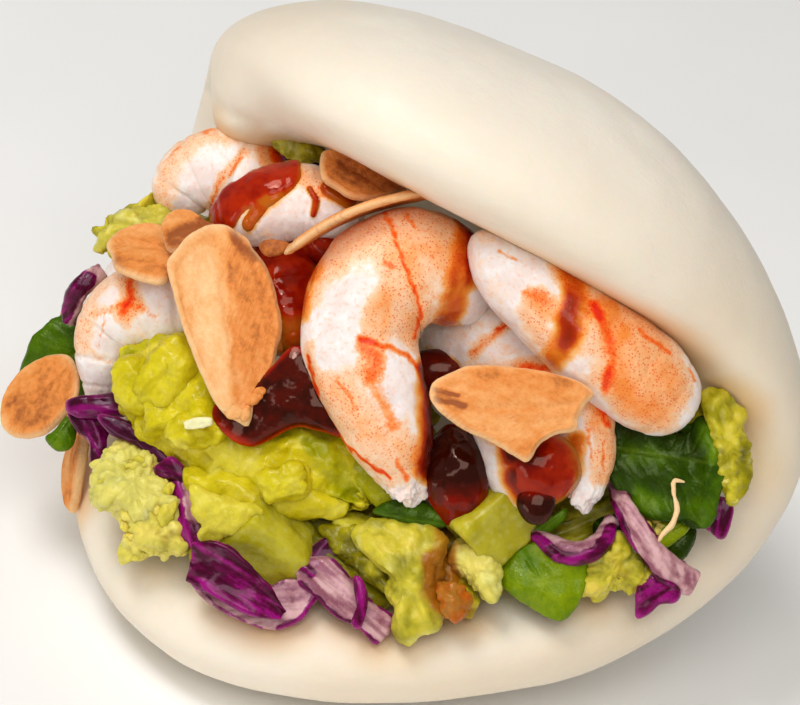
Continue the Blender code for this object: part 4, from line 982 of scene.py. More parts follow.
# Lettuce on the hidden side: course, thickness, ripple, its waves and curl
HIDDEN_LETTUCE = [
    ([(-30, 10, -8, 4), (-36.8, 11, -13, 4.6), (-44, 7.4, -12, 3.6)], 0.8, 0.8, 3, 0.6),
    ([(-34, 10.6, 10, 3.6), (-41, 12.2, 14.4, 4), (-46, 9.4, 16.4, 2.8)], 0.8, 1.1, 3.5, 0.4),
]
leaves = [crinkled(plate(*shape, number, 38, 136), 100 + 7 * number, coarse, fine, tone, pale)
          for number, (*shape, coarse, fine, tone, pale) in enumerate(LETTUCE)]
leaves += [crinkled(blade(rows, 60, 30, *shape, 0.22, 0.16, number), 200 + number, 0.3, 0.25, 0.5, 0.1)
           for number, (rows, *shape) in enumerate(HIDDEN_LETTUCE)]

# Crumbs of lettuce and egg-yellow bits: outline, depth, lean, count, half sizes and tone
CRUMBS = [
    ((92, 480, 114, 446, 150, 452, 176, 495, 172, 520, 110, 508), 29.2, (0.1, 0.5), 24, (0.4, 0.9), 0.7),
    ((120, 514, 178, 512, 190, 548, 150, 554, 124, 562), 30.6, (0.1, 0.2), 24, (0.4, 0.8), 0.85),
    ((573, 572, 600, 556, 625, 542, 650, 574, 617, 588, 590, 598), 31.9, (0, 0.1), 22, (0.35, 0.8), 0.6),
    ((722, 476, 746, 466, 746, 486, 734, 504, 724, 496), 30.8, (-0.2, 0.1), 9, (0.3, 0.6), 0.8),
    ((456, 545, 486, 552, 500, 586, 486, 600, 456, 566), 34.4, (0, 0.1), 12, (0.3, 0.6), 0.75),
    ((645, 520, 664, 516, 662, 530, 646, 532), 30, (0, 0), 5, (0.4, 0.7), 1.1),
]
bits = [crumbs(number, *row) for number, row in enumerate(CRUMBS)]


def veined(form, t, w, seed, tone):
    """Midrib, side veins and swollen fields between them, from shares along and across the leaf."""
    side = (t * 6.5 - np.abs(w) * 1.6 + 0.1 * np.sin(9.0 * w)) % 1.0
    vein = np.maximum(bell(w, 0.05), 0.6 * bell(side - 0.5, 0.06) * smooth(np.abs(w), 0.02, 0.12))
    top = smooth(form.facing(), -0.3, 0.3) * 2.0 - 1.0
    form.push(top * (0.08 * np.abs(np.sin(math.pi * side)) - 0.14 * vein))
    form.rough((0.4, 6.0, 2, seed))
    form.fields = {"vein": vein, "tone": tone + 0.14 * fractal(form.points, 5.0, 3, seed + 2)}
    return form


# Green leaves: outline, depth, lean, thickness, dome, wave, tone, then both ends of the midrib
GREEN = [
    ((372, 512, 384, 503, 404, 500, 428, 504, 445, 520, 441, 528, 414, 524, 385, 518), 33.6, (0, 0.2), 0.9,
     0.6, 0.4, 0.42, (370, 512), (448, 526)),
    ((530, 534, 540, 524, 553, 515, 567, 507, 566, 518, 552, 531, 538, 541), 31.6, (0, 0), 0.8, 0.5, 0.3,
     0.55, (528, 538), (568, 508)),
    ((594, 522, 612, 514, 630, 520, 628, 540, 610, 548, 596, 540), 28.4, (0, 0.2), 0.8, 0.6, 0.3, 0.12,
     (592, 520), (630, 545)),
    ((662, 536, 680, 524, 697, 528, 694, 546, 682, 560, 668, 556), 28.2, (0, 0.1), 0.8, 0.6, 0.3, 0.3,
     (660, 540), (698, 530)),
    ((655, 526, 668, 516, 690, 520, 684, 534, 664, 548, 656, 540), 29.2, (0, 0.1), 0.8, 0.4, 0.3, 0.9,
     (655, 540), (690, 520)),
    ((502, 564, 517, 549, 540, 541, 567, 549, 585, 560, 584, 587, 574, 609, 560, 621, 540, 614, 517, 598,
     501, 581), 32.4, (0.1, 0.1), 0.8, 0.7, 0.9, 0.8, (520, 548), (565, 618)),
    ((45, 438, 55, 430, 66, 416, 76, 420, 74, 440, 68, 449, 56, 450), 17.5, (0, 0.2), 0.8, 0.5, 0.3, 0.55,
     (76, 414), (50, 446)),
]
RIGHT_EDGE = (607, 403, 630, 408, 663, 428, 682, 432, 697, 420, 717, 429, 731, 448, 728, 467, 719, 484,
              714, 503, 710, 521, 703, 528, 687, 523, 663, 521, 640, 514, 627, 501, 612, 485, 604, 437)
FOLD = [(7, 0.9, 1, 699, 424, 712, 455, 700, 506), (5, 0.9, 0.5, 668, 470, 690, 482, 700, 506)]


def green_leaf(number, outline, toward, lean, thick, dome, wavy, tone, foot, tip):
    """Small torn green leaf."""
    form = plate(outline, toward, lean, thick, dome, wavy, 0.015, number, 28, 100, rim_power=16.0)
    u, v = form.pixels()
    run, rise = tip[0] - foot[0], tip[1] - foot[1]
    t = ((u - foot[0]) * run + (v - foot[1]) * rise) / (run * run + rise * rise)
    w = ((v - foot[1]) * run - (u - foot[0]) * rise) / (run * run + rise * rise) * 2.4
    return veined(form, t, w, 140 + number, tone)


small_leaves = joined([green_leaf(number, *row) for number, row in enumerate(GREEN)])
leaf_right = plate(RIGHT_EDGE, 30.2, (0.04, 0.1), 0.8, 1.0, 0.7, 0.012, 5, 72, 220, rim_power=20.0)
# The right leaf in the picture: where it turns down, its crease, and the midrib's foot, slope and reach
TURNED_DOWN = (694.0, 722.0)
RIGHT_CREASE, CREASE_HALF = 690.0, 9.0
RIB_FOOT, RIB_SLOPE = (605.0, 446.0), 0.16
RIB_LONG, RIB_WIDE = 150.0, 60.0
u, v = leaf_right.pixels()
leaf_right.push((0.9 * strokes(leaf_right, FOLD, 0.0, any_side=True)
                 + 0.6 * smooth(u, *TURNED_DOWN) - 0.5 * bell((u - RIGHT_CREASE) / CREASE_HALF, 1.0)) *
                np.where(leaf_right.facing() > 0.0, 1.0, -1.0))
u, v = u - RIB_FOOT[0], v - RIB_FOOT[1]
leaf_right = veined(leaf_right, u / RIB_LONG, (v - RIB_SLOPE * u) / RIB_WIDE, 5, 0.25)
# Painted highlight: lighter tone along the folds and on the right lobe; one band near the top is made darker
leaf_right.fields["tone"] += strokes(leaf_right, [
    (13, 0.8, 0.2, 718, 440, 722, 470, 708, 510), (12, 0.9, 0.22, 640, 500, 700, 520),
    (18, 0.9, -0.1, 620, 420, 690, 450), (11, 1.0, 0.2, 636, 452, 684, 462),
    (9, 1.0, 0.3, 706, 432, 716, 452), (8, 1.0, 0.16, 622, 484, 650, 500),
    (7, 0.9, 0.12, 690, 470, 694, 510)], 2.0)
leaf_left = blade(LEFT_LEAF, 80, 50, 0.7, 0.6, 1.3, 1.1, 0.05, 0.3, 6)
leaf_left = veined(leaf_left, leaf_left.fields["t"], leaf_left.fields["w"], 6, 0.5)

# Red cabbage pieces: outline, depth, lean, thickness, dome, wave, own purple, dark share, marks of purple,
# one of which is a painted highlight
CABBAGE = [
    ((189, 577, 207, 582, 240, 596, 262, 592, 283, 580, 305, 580, 322, 590, 312, 604, 300, 618, 279, 629,
     259, 627, 227, 613, 203, 598), 33, (0.05, 0.1), 1.3, 0.4, 0.4, 0.06, 0,
     [(2.2, 0.7, 0.9, 279, 628, 300, 618, 318, 592), (2.5, 0.9, 0.4, 262, 590, 285, 581),
     (1.6, 0.8, 0.5, 190, 580, 225, 612, 262, 629), (5, 0.9, 0.25, 290, 600, 312, 590)]),
    ((300, 562, 318, 557, 334, 560, 350, 579, 372, 602, 394, 617, 392, 628, 377, 644, 360, 628, 337, 617,
     313, 595, 298, 580), 33.6, (0, 0.1), 1.3, 0.8, 0.4, 0.05, 0,
     [(2.6, 0.6, 1, 334, 559, 352, 578, 374, 601, 396, 617),
     (3, 0.6, 1, 300, 584, 337, 618, 360, 630, 378, 645), (5, 0.8, 0.9, 304, 567, 312, 572),
     (3, 0.9, 0.25, 322, 572, 345, 596)]),
    ((354, 578, 361, 580, 366, 597, 366, 612, 359, 628, 352, 622, 358, 604), 35.4, (0, 0), 1.2, 0.4, 0.2,
     0.95, 0.1, []),
    ((286, 575, 300, 560, 318, 543, 336, 538, 340, 550, 330, 566, 312, 577, 296, 584), 31.6, (0, 0.1), 1.2,
     0.4, 0.3, 0.7, 0.6, []),
    ((636, 616, 639, 584, 647, 570, 663, 576, 679, 589, 675, 601, 660, 604, 648, 613), 31.4, (0.1, 0), 1.1,
     0.7, 0.5, 0.92, 0.15, [(4, 0.9, -0.25, 655, 585, 672, 592)]),
    ((706, 524, 712, 510, 717, 497, 731, 505, 729, 527, 722, 538, 712, 531), 29.6, (-0.1, 0), 1.1, 0.5,
     0.4, 0.95, 0.3, []),
    ((66, 402, 80, 397, 100, 396, 121, 392, 133, 399, 138, 410, 123, 416, 100, 418, 74, 415), 21.4,
     (0.1, 0.2), 1.6, 0.9, 0.3, 0.75, 0.6, [(3, 0.8, 0.6, 66, 408, 98, 414, 136, 411),
     (2, 0.8, 0.5, 66, 402, 92, 396)]),
    # The paler spot marked on this piece is a painted highlight
    ((68, 412, 90, 416, 110, 423, 107, 438, 103, 458, 92, 464, 89, 442, 77, 430), 20.6, (0, 0.1), 1.2, 0.5,
     0.5, 0.9, 0.55, [(4, 0.9, -0.3, 84, 424, 92, 440)]),
    ((99, 416, 123, 420, 144, 429, 163, 446, 173, 462, 160, 464, 138, 446, 113, 434), 25.6, (0.15, 0.15),
     1.3, 0.6, 0.5, 0.85, 0.8, [(5, 0.9, -0.2, 150, 440, 166, 458)]),
    ((155, 468, 170, 458, 182, 466, 190, 478, 184, 485, 170, 480, 159, 478), 28.6, (0.2, 0.1), 1.6, 0.8,
     0.3, 0.9, 0.3, []),
    ((282, 152, 298, 143, 322, 150, 325, 163, 305, 169, 288, 166), 17, (0, 0.1), 1.2, 0.5, 0.3, 0.9, 0.9,
     []),
    ((174, 480, 190, 478, 197, 495, 202, 512, 199, 530, 209, 543, 194, 550, 180, 530, 176, 505), 30.4,
     (0.2, 0.2), 1.2, 0.6, 0.3, 0.15, 0, [(6, 0.7, 0.95, 175, 482, 177, 503, 180, 527, 194, 549),
     (7, 0.8, 0.7, 188, 528, 200, 545)]),
]
# Cabbage strips: course in pixels with depth and half width, thickness, curl, then marks of purple
STRIPS = [
    ([(192, 562, 34, 2.2), (214, 567, 35, 2.9), (238, 583, 35.2, 2.6), (261, 600, 35, 1.9),
     (283, 614, 34.4, 0.5)], 0.9, -0.7, [(40, 0.1, 1, 190, 560, 240, 585, 283, 614)]),
    ([(612, 478, 27, 0.7), (622, 502, 31, 1.1), (634, 525, 32.6, 1.4), (652, 552, 33, 1.5),
     (672, 572, 32.6, 1.7), (695, 584, 31.6, 1.5)], 1.2, 0.25,
     [(3.4, 0.5, 1, 604, 484, 621, 521, 635, 554, 650, 575, 677, 590),
     (2.2, 0.5, 0.95, 619, 481, 642, 509, 656, 536, 679, 556, 701, 570)]),
    ([(534, 533, 31.4, 0.9), (553, 546, 32.6, 1.2), (575, 553, 33.2, 1.3), (598, 545, 32.6, 1.3),
     (612, 520, 30, 0.9)], 1.6, 0.3, [(6.5, 0.5, 1, 536, 538, 553, 553, 573, 561, 597, 553, 612, 530)]),
    ([(69, 322, 11, 0.9), (74, 300, 13, 1.2), (84, 284, 14, 1.3), (102, 270, 13, 1)], 1.1, 0.3,
     [(9, 0.5, 0.9, 62, 318, 72, 294, 86, 280)]),
    ([(229, 281, -17, 2.4), (139, 289, -16, 2.4), (93, 328, -12, 2.2), (77, 378, -6, 1.6)], 1.2, 0.3,
     [(6, 0.6, 0.9, 229, 281, 139, 289, 93, 328)]),
]


def cabbage(form, own, dark, marks, seed):
    """Purple skin over pale flesh, and how dark it is, with strands along it."""
    purple = own + strokes(form, marks, 1.5, 1.2, any_side=True) + 0.1 * fractal(form.points, 2.0, 3, seed)
    purple = np.clip(purple, 0.0, 1.0)
    top = np.where(form.facing() > 0.0, 1.0, -1.0)
    offset = form.points - form.points.mean(axis=0)
    length, width, depth = np.linalg.svd(offset, full_matrices=False)[2]
    along = np.stack([offset @ length * 0.22, offset @ width * 1.5, offset @ depth], axis=1)
    streak = fractal(along, 1.4, 3, seed + 4)
    form.push(top * (0.1 * streak + 0.24 * fractal(form.points, 3.6, 2, seed + 1) + 0.16 * purple))
    form.fields = {"purple": purple, "edge": form.fields["share"] ** 14 if "share" in form.fields else 0.0,
                   "dark": np.clip(dark + 0.25 * fractal(form.points, 3.0, 2, seed + 2), 0.0, 1.0),
                   "streak": streak}
    return form


shreds = [cabbage(plate(*shape, 0.6 * dome, wavy, 0.025, number + 20, 34, 124, rim_power=24.0),
                  own, dark, marks, 160 + number)
          for number, (*shape, dome, wavy, own, dark, marks) in enumerate(CABBAGE)]
shreds += [cabbage(blade(pixel_course(*rows), 90, 26, thick, 0.15, 1.4, curl, 0.04, 0.0, number),
                   0.05, 0.0, marks, 190 + number)
           for number, (rows, thick, curl, marks) in enumerate(STRIPS)]
shreds = joined(shreds)

# Fried thread on the right leaf, and a chip of almond
NO_TOAST = {"x": 0.0, "y": 0.0, "streaks": 0.0}
thread = tube(pixel_course((685, 482, 32.4, 0.22), (674, 481, 32.6, 0.3), (674, 494, 32.8, 0.26),
                           (677, 510, 32.9, 0.32), (672, 524, 33.0, 0.34), (663, 534, 33.0, 0.3),
                           (658, 542, 32.8, 0.22)), 90, 16)
thread.rough((0.1, 1.0, 2, 91)).fields = {**NO_TOAST, "toast": 0.0, "rim": 1.0}
chip = plate((260, 244, 270, 239, 288, 243, 286, 252, 270, 257, 261, 252), 31.0, (0, 0), 1.0, 0.3, 0.2, 0.05,
             9, 20, 60)
chip.fields = {**NO_TOAST, "toast": 0.95, "rim": 0.0}

# Cucumber cubes
cubes = [cube(*row).rough((0.55, 4.4, 2, 95 + number), (0.09, 1.2, 3, 98))
         for number, row in enumerate(CUBES)]

# Sauce: the drop, the pool on the mash, its smear and drip, and a thick layer on two shrimps
drop = tube(DROP, 60, 56, flat=0.8, blunt=3.0).rough((0.45, 4.0, 2, 101))
drop.fields = {"depth": 0.46 + 0.22 * smooth(drop.facing(), 0.3, 0.9)
               + 0.5 * smooth(drop.pixels()[1], 505.0, 466.0)}
pool = plate((214, 405, 218, 426, 232, 440, 250, 446, 268, 441, 284, 432, 300, 427, 322, 431, 345, 437,
              352, 418, 338, 392, 322, 370, 306, 350, 292, 346, 276, 362, 244, 392), 33.6, (0.07, -0.04),
             1.8, 0.5, 0.3, 0.02, 103, 44, 150, rim_power=3.0).rough((0.2, 4.0, 2, 104))
pool.fields = {"depth": 0.92 - 0.42 * smooth(pool.fields["share"], 0.8, 1.0)
               - strokes(pool, [(7, 0.9, 0.12, 222, 436, 250, 446, 290, 430, 345, 436)], 2.0)}
drip = tube(pixel_course((534, 484, 35.2, 2.0), (536, 504, 35.8, 2.3), (536, 525, 36.0, 1.5)), 40, 40,
            flat=0.6, blunt=3.0)
drip.fields = {"depth": 0.5 + 0.5 * smooth(drip.pixels()[1], 488.0, 505.0)}
smear = plate((437, 584, 450, 580, 461, 588, 470, 600, 468, 613, 456, 621, 443, 616, 438, 602), 35.4,
              (0.0, 0.1), 1.6, 0.9, 0.3, 0.03, 105, 30, 90, rim_power=3.0).rough((0.6, 1.8, 3, 107))
smear.fields = {"depth": 0.06 + 0.08 * fractal(smear.points, 1.6, 2, 106)}
blob = lump(pixel_place(541, 469, 34.2), (5.0, 4.4, 3.4), 0.0, 44, 60).rough((0.35, 4.0, 2, 108))
blob.fields = {"depth": 0.08 + 0.36 * smooth(blob.facing(), 0.3, 0.8) + strokes(blob, [
    (13, 0.8, 0.4, 512, 446, 530, 452), (8, 0.8, 0.1, 540, 490, 560, 480),
    (7, 0.9, -0.12, 572, 440, 578, 480)], 2.0)}
pocket = lump(pixel_place(436, 372, 26.5), (4.4, 2.8, 2.4), 0.0, 30, 40)
pocket.fields = {"depth": 0.8}
seep = lump(pixel_place(328, 244, 23.5), (3.8, 3.0, 2.6), -20.0, 36, 48).rough((0.4, 3.0, 2, 111))
seep.fields = {"depth": 0.34 + 0.3 * smooth(fractal(seep.points, 4.0, 2, 112), -0.3, 0.5)}
glazes = [blob, pocket, seep]
# Thick sauce on shrimps: the shrimp's number, thickness, then depth of colour at the rim and in the middle
for number, thick, thin, deep in [(2, 0.45, 0.12, 0.46), (8, 0.6, 0.14, 0.5)]:
    form = film(shrimps[number - 1], shrimps[number - 1].fields["glaze"], thick)
    form.fields["depth"] = thin + (deep - thin) * form.fields["depth"]
    glazes.append(form)

# Painted warm shade on the dough where the filling lies close to it
SHADE_REACH = 7.0
SHADE_STEP = 6
filling = joined([*shrimps, *leaves, *bits, shreds, mash, leaf_right, *almonds])
tree = KDTree(len(filling.points) // SHADE_STEP + 1)
for k, place in enumerate(filling.points[::SHADE_STEP]):
    tree.insert(place, k)
tree.balance()
bun.fields["near"] = np.array([max(0.0, 1.0 - tree.find(place)[2] / SHADE_REACH) for place in bun.points])


# Materials
def dough_look():
    """Pale matt dough, with painted warm shade by the fold, along its rims and near the filling."""
    look = food("dough_skin", 0.3, (1.0, 0.55, 0.3), 2.5, 0.3, wet=0.08, wet_rough=0.35)
    tone = look.ramp(look.noise(14.0, 4.0), (0.3, 239, 229, 213), (0.7, 244, 236, 222))
    # Painted warm shade by the fold and along the rims
    tone = look.over(tone, "painted_shade", 0.0, 1.0, 0.8, 232, 196, 134)
    # Painted warm shade where the filling lies close
    tone = look.over(tone, "near", 0.3, 1.0, 0.8, 224, 176, 112)
    # Painted shade: darker tan towards the edge of the dough disc
    tone = look.over(tone, "rim", 0.75, 1.0, 0.2, 236, 212, 172)
    tone = look.over(tone, look.noise(0.8), 0.6, 0.8, 0.1, 228, 208, 172)
    return look.finish(tone, look.grain(5.0, 3.0, 0.42, 0.56), (look.noise(3.0, 4.0), 0.12),
                       (look.noise(0.5, 2.0), 0.03))


def shrimp_look():
    """White flesh with orange skin in dots, red ink and thin sauce."""
    look = food("shrimp_skin", 0.3, (0.9, 0.55, 0.45), 0.8, 0.2, (1.0, 0.85, 0.75), 0.16, 0.08)
    flesh = look.ramp(look.noise(2.4, 4.0), (0.3, 238, 218, 210), (0.55, 245, 233, 229), (0.7, 250, 245, 244))
    amount = look.grained("orange", 0.09, 1.1, 4.0, 0.6)
    skin = look.ramp(amount, (0.08, 250, 234, 220), (0.3, 249, 208, 172), (0.6, 250, 184, 128),
                     (1.0, 248, 146, 62))
    tone = look.mix(look.span(amount, 0.03, 0.25), flesh, skin)
    dots = look.maths("MULTIPLY", look.span(look.cells(0.36), 0.42, 0.18),
                      look.span(look.noise(1.5, 2.0), 0.3, 0.55, 0.5, 1.0))
    strength = look.maths("MULTIPLY", dots, look.span(amount, 0.12, 0.5, 0.0, 0.8))
    tone = look.mix(strength, tone, rgb(234, 94, 28))
    ink = look.ramp(look.grained("red", 0.15, 0.5, 3.0), (0.05, 255, 255, 255), (0.4, 255, 188, 126),
                    (0.75, 254, 132, 52), (1.0, 238, 80, 16))
    tone = look.mix(1.0, tone, ink, "MULTIPLY")
    glaze = look.grained("glaze", 0.07, 2.2, 3.0)
    sauce = look.ramp(glaze, (0.06, 255, 255, 255), (0.2, 255, 214, 140), (0.42, 238, 146, 40),
                      (0.66, 190, 56, 2), (1.0, 92, 14, 2))
    tone = look.mix(1.0, tone, sauce, "MULTIPLY")
    rough = look.span(look.maths("SUBTRACT", look.noise(1.6), glaze), -0.2, 0.7, 0.12, 0.42)
    return look.finish(tone, rough, (look.noise(0.9, 4.0), 0.09), (look.noise(0.3, 2.0), 0.03))


def almond_look():
    """Toasted face with fibres that run out from the middle line, and a paler rim."""
    look = food("almond_face", 0.15, (1.0, 0.5, 0.2), 0.8, 0.3)
    toast = look.maths("ADD", look.field("toast"), look.span(look.field("streaks"), -0.6, 0.6, -0.08, 0.08))
    toast = look.grained(toast, 0.07, 0.7, 4.0)
    tone = look.ramp(toast, (0.1, 248, 204, 148), (0.42, 241, 174, 106), (0.75, 228, 140, 62),
                     (1.0, 158, 82, 30))
    tone = look.over(tone, "rim", 0.2, 0.9, 0.6, 251, 214, 162)
    tone = look.over(tone, look.noise(0.35, 2.0), 0.62, 0.75, 0.14, 176, 98, 40)
    along = look.maths("MULTIPLY", look.field("x"), 12.0)
    off = look.maths("MULTIPLY", look.maths("ABSOLUTE", look.field("y")), 7.0)
    across = look.maths("ADD", look.maths("MULTIPLY", along, 0.6), off)
    down = look.maths("MULTIPLY", look.maths("SUBTRACT", along, off), 0.12)
    place = look.add("ShaderNodeCombineXYZ", {0: across, 1: down}).outputs[0]
    fibres = look.add("ShaderNodeTexNoise",
                      {"Vector": place, "Scale": 2.2, "Detail": 4.0, "Roughness": 0.6}).outputs[0]
    fibres = look.maths("MULTIPLY", fibres, look.span(toast, 0.38, 0.62, 0.3, 1.0))
    tone = look.over(tone, fibres, 0.5, 0.75, 0.4, 196, 108, 40)
    return look.finish(tone, look.grain(1.5, 3.0, 0.5, 0.7), (look.noise(0.6, 5.0, 0.65), 0.12),
                       (fibres, 0.16), (look.noise(0.16, 2.0), 0.03))


def avocado_look():
    """Yellow-green mash, greener in patches and along parts of its outline, paler in patches, and lighter at
    its upper left as a painted highlight.
    """
    look = food("avocado_flesh", 0.3, (1.0, 0.9, 0.2), 1.2, 0.22, (1.0, 0.95, 0.4), 0.26, 0.1)
    tone = look.ramp(look.noise(2.6, 4.0), (0.3, 186, 170, 0), (0.55, 212, 196, 22), (0.75, 220, 206, 64))
    tone = look.over(tone, "pale", 0.0, 1.0, 0.8, 234, 222, 104)
    tone = look.over(tone, "pale", 1.2, 1.5, 1.0, 240, 236, 196)
    tone = look.over(tone, "green", 0.2, 1.0, 0.8, 140, 146, 0)
    tone = look.over(tone, look.noise(0.8), 0.58, 0.8, 0.35, 164, 150, 6)
    return look.finish(tone, look.grain(1.4, 3.0, 0.26, 0.46), (look.noise(1.3, 4.0), 0.2),
                       (look.noise(0.4), 0.06))


def cucumber_look():
    """Wet pale green flesh."""
    look = food("cucumber_flesh", 0.5, (1.0, 1.0, 0.3), 2.0, 0.2, wet=0.2, wet_rough=0.08)
    tone = look.ramp(look.noise(3.4), (0.3, 172, 160, 4), (0.7, 196, 186, 52))
    tone = look.mix(look.span(look.cells(1.1), 0.1, 0.5, 0.25, 0.0), tone, rgb(208, 204, 120))
    return look.finish(tone, look.grain(1.5, 3.0, 0.16, 0.34), (look.noise(1.1), 0.1),
                       (look.cells(0.5), 0.03))


def lettuce_look():
    """Yellow-green crinkled leaf, paler in places and stained by sauce."""
    look = food("lettuce_face", 0.4, (1.0, 1.0, 0.25), 1.3, 0.24, (1.0, 0.95, 0.5), 0.16, 0.07)
    tone = look.ramp(look.grained("tone", 0.12, 1.6, 4.0), (0.0, 104, 96, 4), (0.3, 156, 146, 10),
                     (0.6, 202, 188, 44), (1.0, 232, 206, 84))
    tone = look.over(tone, "pale", 0.0, 1.0, 0.75, 232, 226, 138)
    tone = look.over(tone, "stain", 0.05, 1.0, 0.9, 158, 84, 8)
    return look.finish(tone, look.grain(1.2, 3.0, 0.2, 0.42), (look.noise(0.9, 4.0), 0.16),
                       (look.noise(0.3, 2.0), 0.04))


def leaf_look():
    """Dark green glossy leaf with paler veins."""
    look = food("green_leaf_face", 0.15, (0.7, 1.0, 0.2), 0.6, 0.24, (0.8, 1.0, 0.35), 0.08, 0.08)
    tone = look.ramp(look.grained("tone", 0.08, 1.8, 4.0), (0.05, 24, 36, 0), (0.35, 42, 70, 1),
                     (0.65, 78, 112, 2), (1.0, 142, 160, 6))
    tone = look.over(tone, "vein", 0.2, 1.0, 0.16, 128, 156, 40)
    return look.finish(tone, look.grain(1.2, 3.0, 0.2, 0.36), (look.noise(0.8, 4.0), 0.1),
                       (look.cells(0.35), 0.03))


def cabbage_look():
    """Purple skin, dark in places and bright at its edge, over pale flesh in strands."""
    look = food("red_cabbage", 0.2, (1.0, 0.4, 0.8), 0.8, 0.26, (1.0, 0.5, 0.8), 0.16, 0.06)
    streak = look.grained(look.span(look.field("streak"), -0.7, 0.7), 0.1, 0.6, 3.0)
    flesh = look.ramp(streak, (0.15, 140, 84, 98), (0.5, 178, 130, 134), (0.85, 210, 168, 168))
    skin = look.ramp(streak, (0.2, 64, 0, 30), (0.5, 96, 0, 58), (0.85, 146, 12, 112))
    skin = look.over(skin, "dark", 0.1, 1.0, 0.9, 44, 4, 20)
    skin = look.over(skin, "edge", 0.1, 0.9, 0.6, 170, 34, 130)
    tone = look.mix(look.span(look.grained("purple", 0.1, 0.5, 3.0), 0.2, 0.6), flesh, skin)
    return look.finish(tone, look.grain(1.0, 3.0, 0.16, 0.34), (look.noise(0.9), 0.05),
                       (look.noise(0.25, 2.0), 0.02))


def sauce_look():
    """Glossy sauce, amber where it is thin and nearly black where it is deep."""
    look = food("dark_sauce", 0.2, (1.0, 0.25, 0.05), 0.8, 0.34, (1.0, 0.62, 0.5))
    tone = look.ramp(look.grained("depth", 0.08, 1.8, 2.0), (0.0, 170, 112, 38), (0.16, 184, 92, 14),
                     (0.34, 178, 40, 3), (0.55, 136, 14, 1), (0.75, 88, 14, 4), (1.0, 46, 8, 3))
    return look.finish(tone, look.grain(2.5, 2.0, 0.06, 0.12), (look.noise(2.0, 2.0), 0.1))


DOUGH, SHRIMP, ALMOND = dough_look(), shrimp_look(), almond_look()
AVOCADO, CUCUMBER, LETTUCE_FACE = avocado_look(), cucumber_look(), lettuce_look()
LEAF, RED_CABBAGE, SAUCE = leaf_look(), cabbage_look(), sauce_look()

# Pieces
make_piece("bun_skin", bun, DOUGH, "dough", "bun")
for number, form in enumerate(shrimps, 1):
    make_piece(f"shrimp_{number}_flesh", form, SHRIMP, "shrimp_meat", f"shrimp_{number}")
for number, form in enumerate(almonds, 1):
    make_piece(f"almond_{number}_slice", form, ALMOND, "toasted_almond", f"almond_{number}")
make_piece("avocado_mash", mash, AVOCADO, "avocado", "avocado")
make_piece("avocado_lumps", joined([*lumps, chunk, green_slice, flake]), AVOCADO, "avocado")
for number, form in enumerate(cubes, 1):
    make_piece(f"cucumber_{number}_flesh", form, CUCUMBER, "cucumber", f"cucumber_{number}")
make_piece("salad_core", core, LETTUCE_FACE, "salad_leaves", "salad")
make_piece("salad_lettuce", joined(leaves), LETTUCE_FACE, "salad_leaves", "salad")
make_piece("salad_crumbs", joined(bits), LETTUCE_FACE, "salad_leaves", "salad")
make_piece("salad_green_leaves", small_leaves, LEAF, "green_leaf", "salad")
make_piece("salad_cabbage", shreds, RED_CABBAGE, "salad_leaves", "salad")
make_piece("fried_thread", joined([thread, chip]), ALMOND, "toasted_almond")
make_piece("leaf_right_face", leaf_right, LEAF, "green_leaf", "leaf_right")
make_piece("leaf_left_face", leaf_left, LEAF, "green_leaf", "leaf_left")
make_piece("sauce_drop_shine", drop, SAUCE, "sauce", "sauce_drop")
make_piece("sauce_pool", joined([pool, smear, drip]), SAUCE, "sauce", "avocado")
make_piece("sauce_glaze", joined(glazes), SAUCE, "sauce")

# Floor, light and camera
FLOOR_HALF = 3.0
LAMP_AIM = Vector((0.0, 0.0, 0.03))
WORLD_COLOUR = (1.0, 0.985, 0.96, 1.0)
WORLD_STRENGTH = 0.275
CLIP_NEAR, CLIP_FAR = 0.02, 10.0
# Lamps: name, place across, up and toward, size, power and colour
LAMPS = [
    ("key", -200, 600, 470, 300, 2.3, (1.0, 0.99, 0.98)),
    ("front", 60, 210, 660, 420, 2.05, (1.0, 0.99, 0.97)),
    ("side", -520, -280, 480, 380, 1.35, (1.0, 0.99, 0.975)),
    ("spark", -150, 420, 520, 60, 0.3, (1.0, 1.0, 1.0)),
]


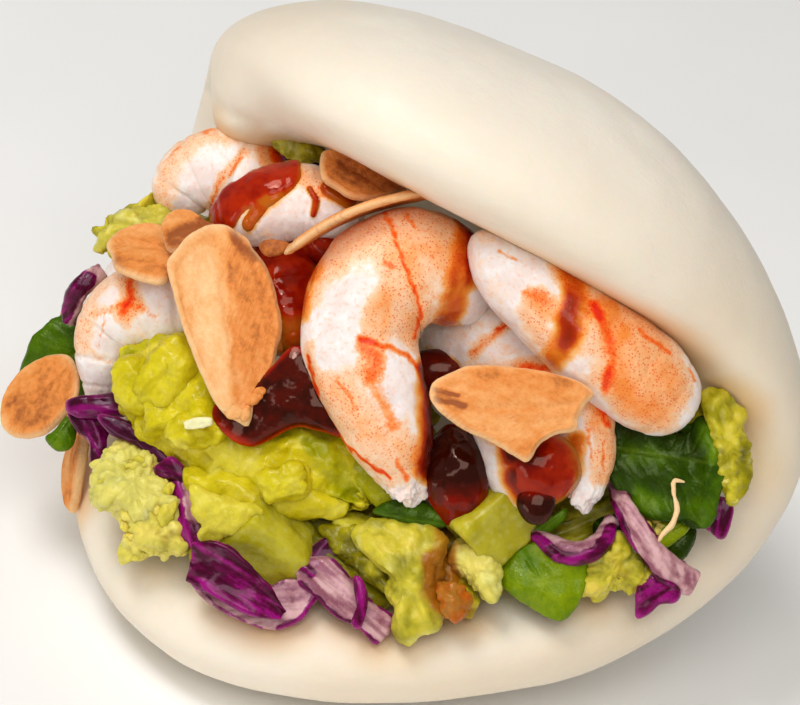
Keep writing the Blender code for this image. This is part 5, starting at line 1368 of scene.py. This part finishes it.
def floor():
    """Pale plain floor."""
    mesh = bpy.data.meshes.new("floor")
    corners = [(x * FLOOR_HALF, y * FLOOR_HALF, 0.0) for x, y in ((-1, -1), (1, -1), (1, 1), (-1, 1))]
    mesh.from_pydata(corners, [], [(0, 1, 2, 3)])
    look = Look("floor_paint")
    tone = look.ramp(look.noise(60.0, 2.0), (0.3, 250, 249, 247), (0.7, 253, 252, 250))
    mesh.materials.append(look.finish(tone, look.grain(30.0, 3.0, 0.6, 0.7)))
    ob = bpy.data.objects.new("floor", mesh)
    bpy.context.scene.collection.objects.link(ob)


def soft_light(name, across, up, toward, size, power, colour):
    """Square lamp placed as seen from the camera, in millimetres, aimed at the food."""
    lamp = bpy.data.lights.new(name, "AREA")
    lamp.size = size * MM
    lamp.energy = power
    lamp.color = colour
    ob = bpy.data.objects.new(name, lamp)
    bpy.context.scene.collection.objects.link(ob)
    place = Vector(HINGE + ACROSS * across + UP * up + TOWARD * toward) * MM
    ob.location = place
    ob.rotation_mode = "QUATERNION"
    ob.rotation_quaternion = (place - LAMP_AIM).to_track_quat("Z", "Y")


floor()
for row in LAMPS:
    soft_light(*row)
world = bpy.data.worlds.new("studio")
world.use_nodes = True
world.node_tree.nodes["Background"].inputs["Color"].default_value = WORLD_COLOUR
world.node_tree.nodes["Background"].inputs["Strength"].default_value = WORLD_STRENGTH
bpy.context.scene.world = world
bpy.context.scene.view_settings.view_transform = "Standard"

lens = bpy.data.cameras.new("camera")
lens.sensor_width = SENSOR
lens.lens = SENSOR * (SEEN_FROM / PIXEL) / PICTURE[0]
lens.shift_x = (PICTURE[0] / 2 - HINGE_PIXEL[0]) / PICTURE[0]
lens.shift_y = (HINGE_PIXEL[1] - PICTURE[1] / 2) / PICTURE[0]
lens.clip_start, lens.clip_end = CLIP_NEAR, CLIP_FAR
camera = bpy.data.objects.new("camera", lens)
bpy.context.scene.collection.objects.link(camera)
camera.matrix_world = Matrix.Translation(Vector((HINGE + TOWARD * SEEN_FROM) * MM)) @ Matrix(
    (ACROSS, UP, TOWARD)).transposed().to_4x4()
bpy.context.scene.camera = camera
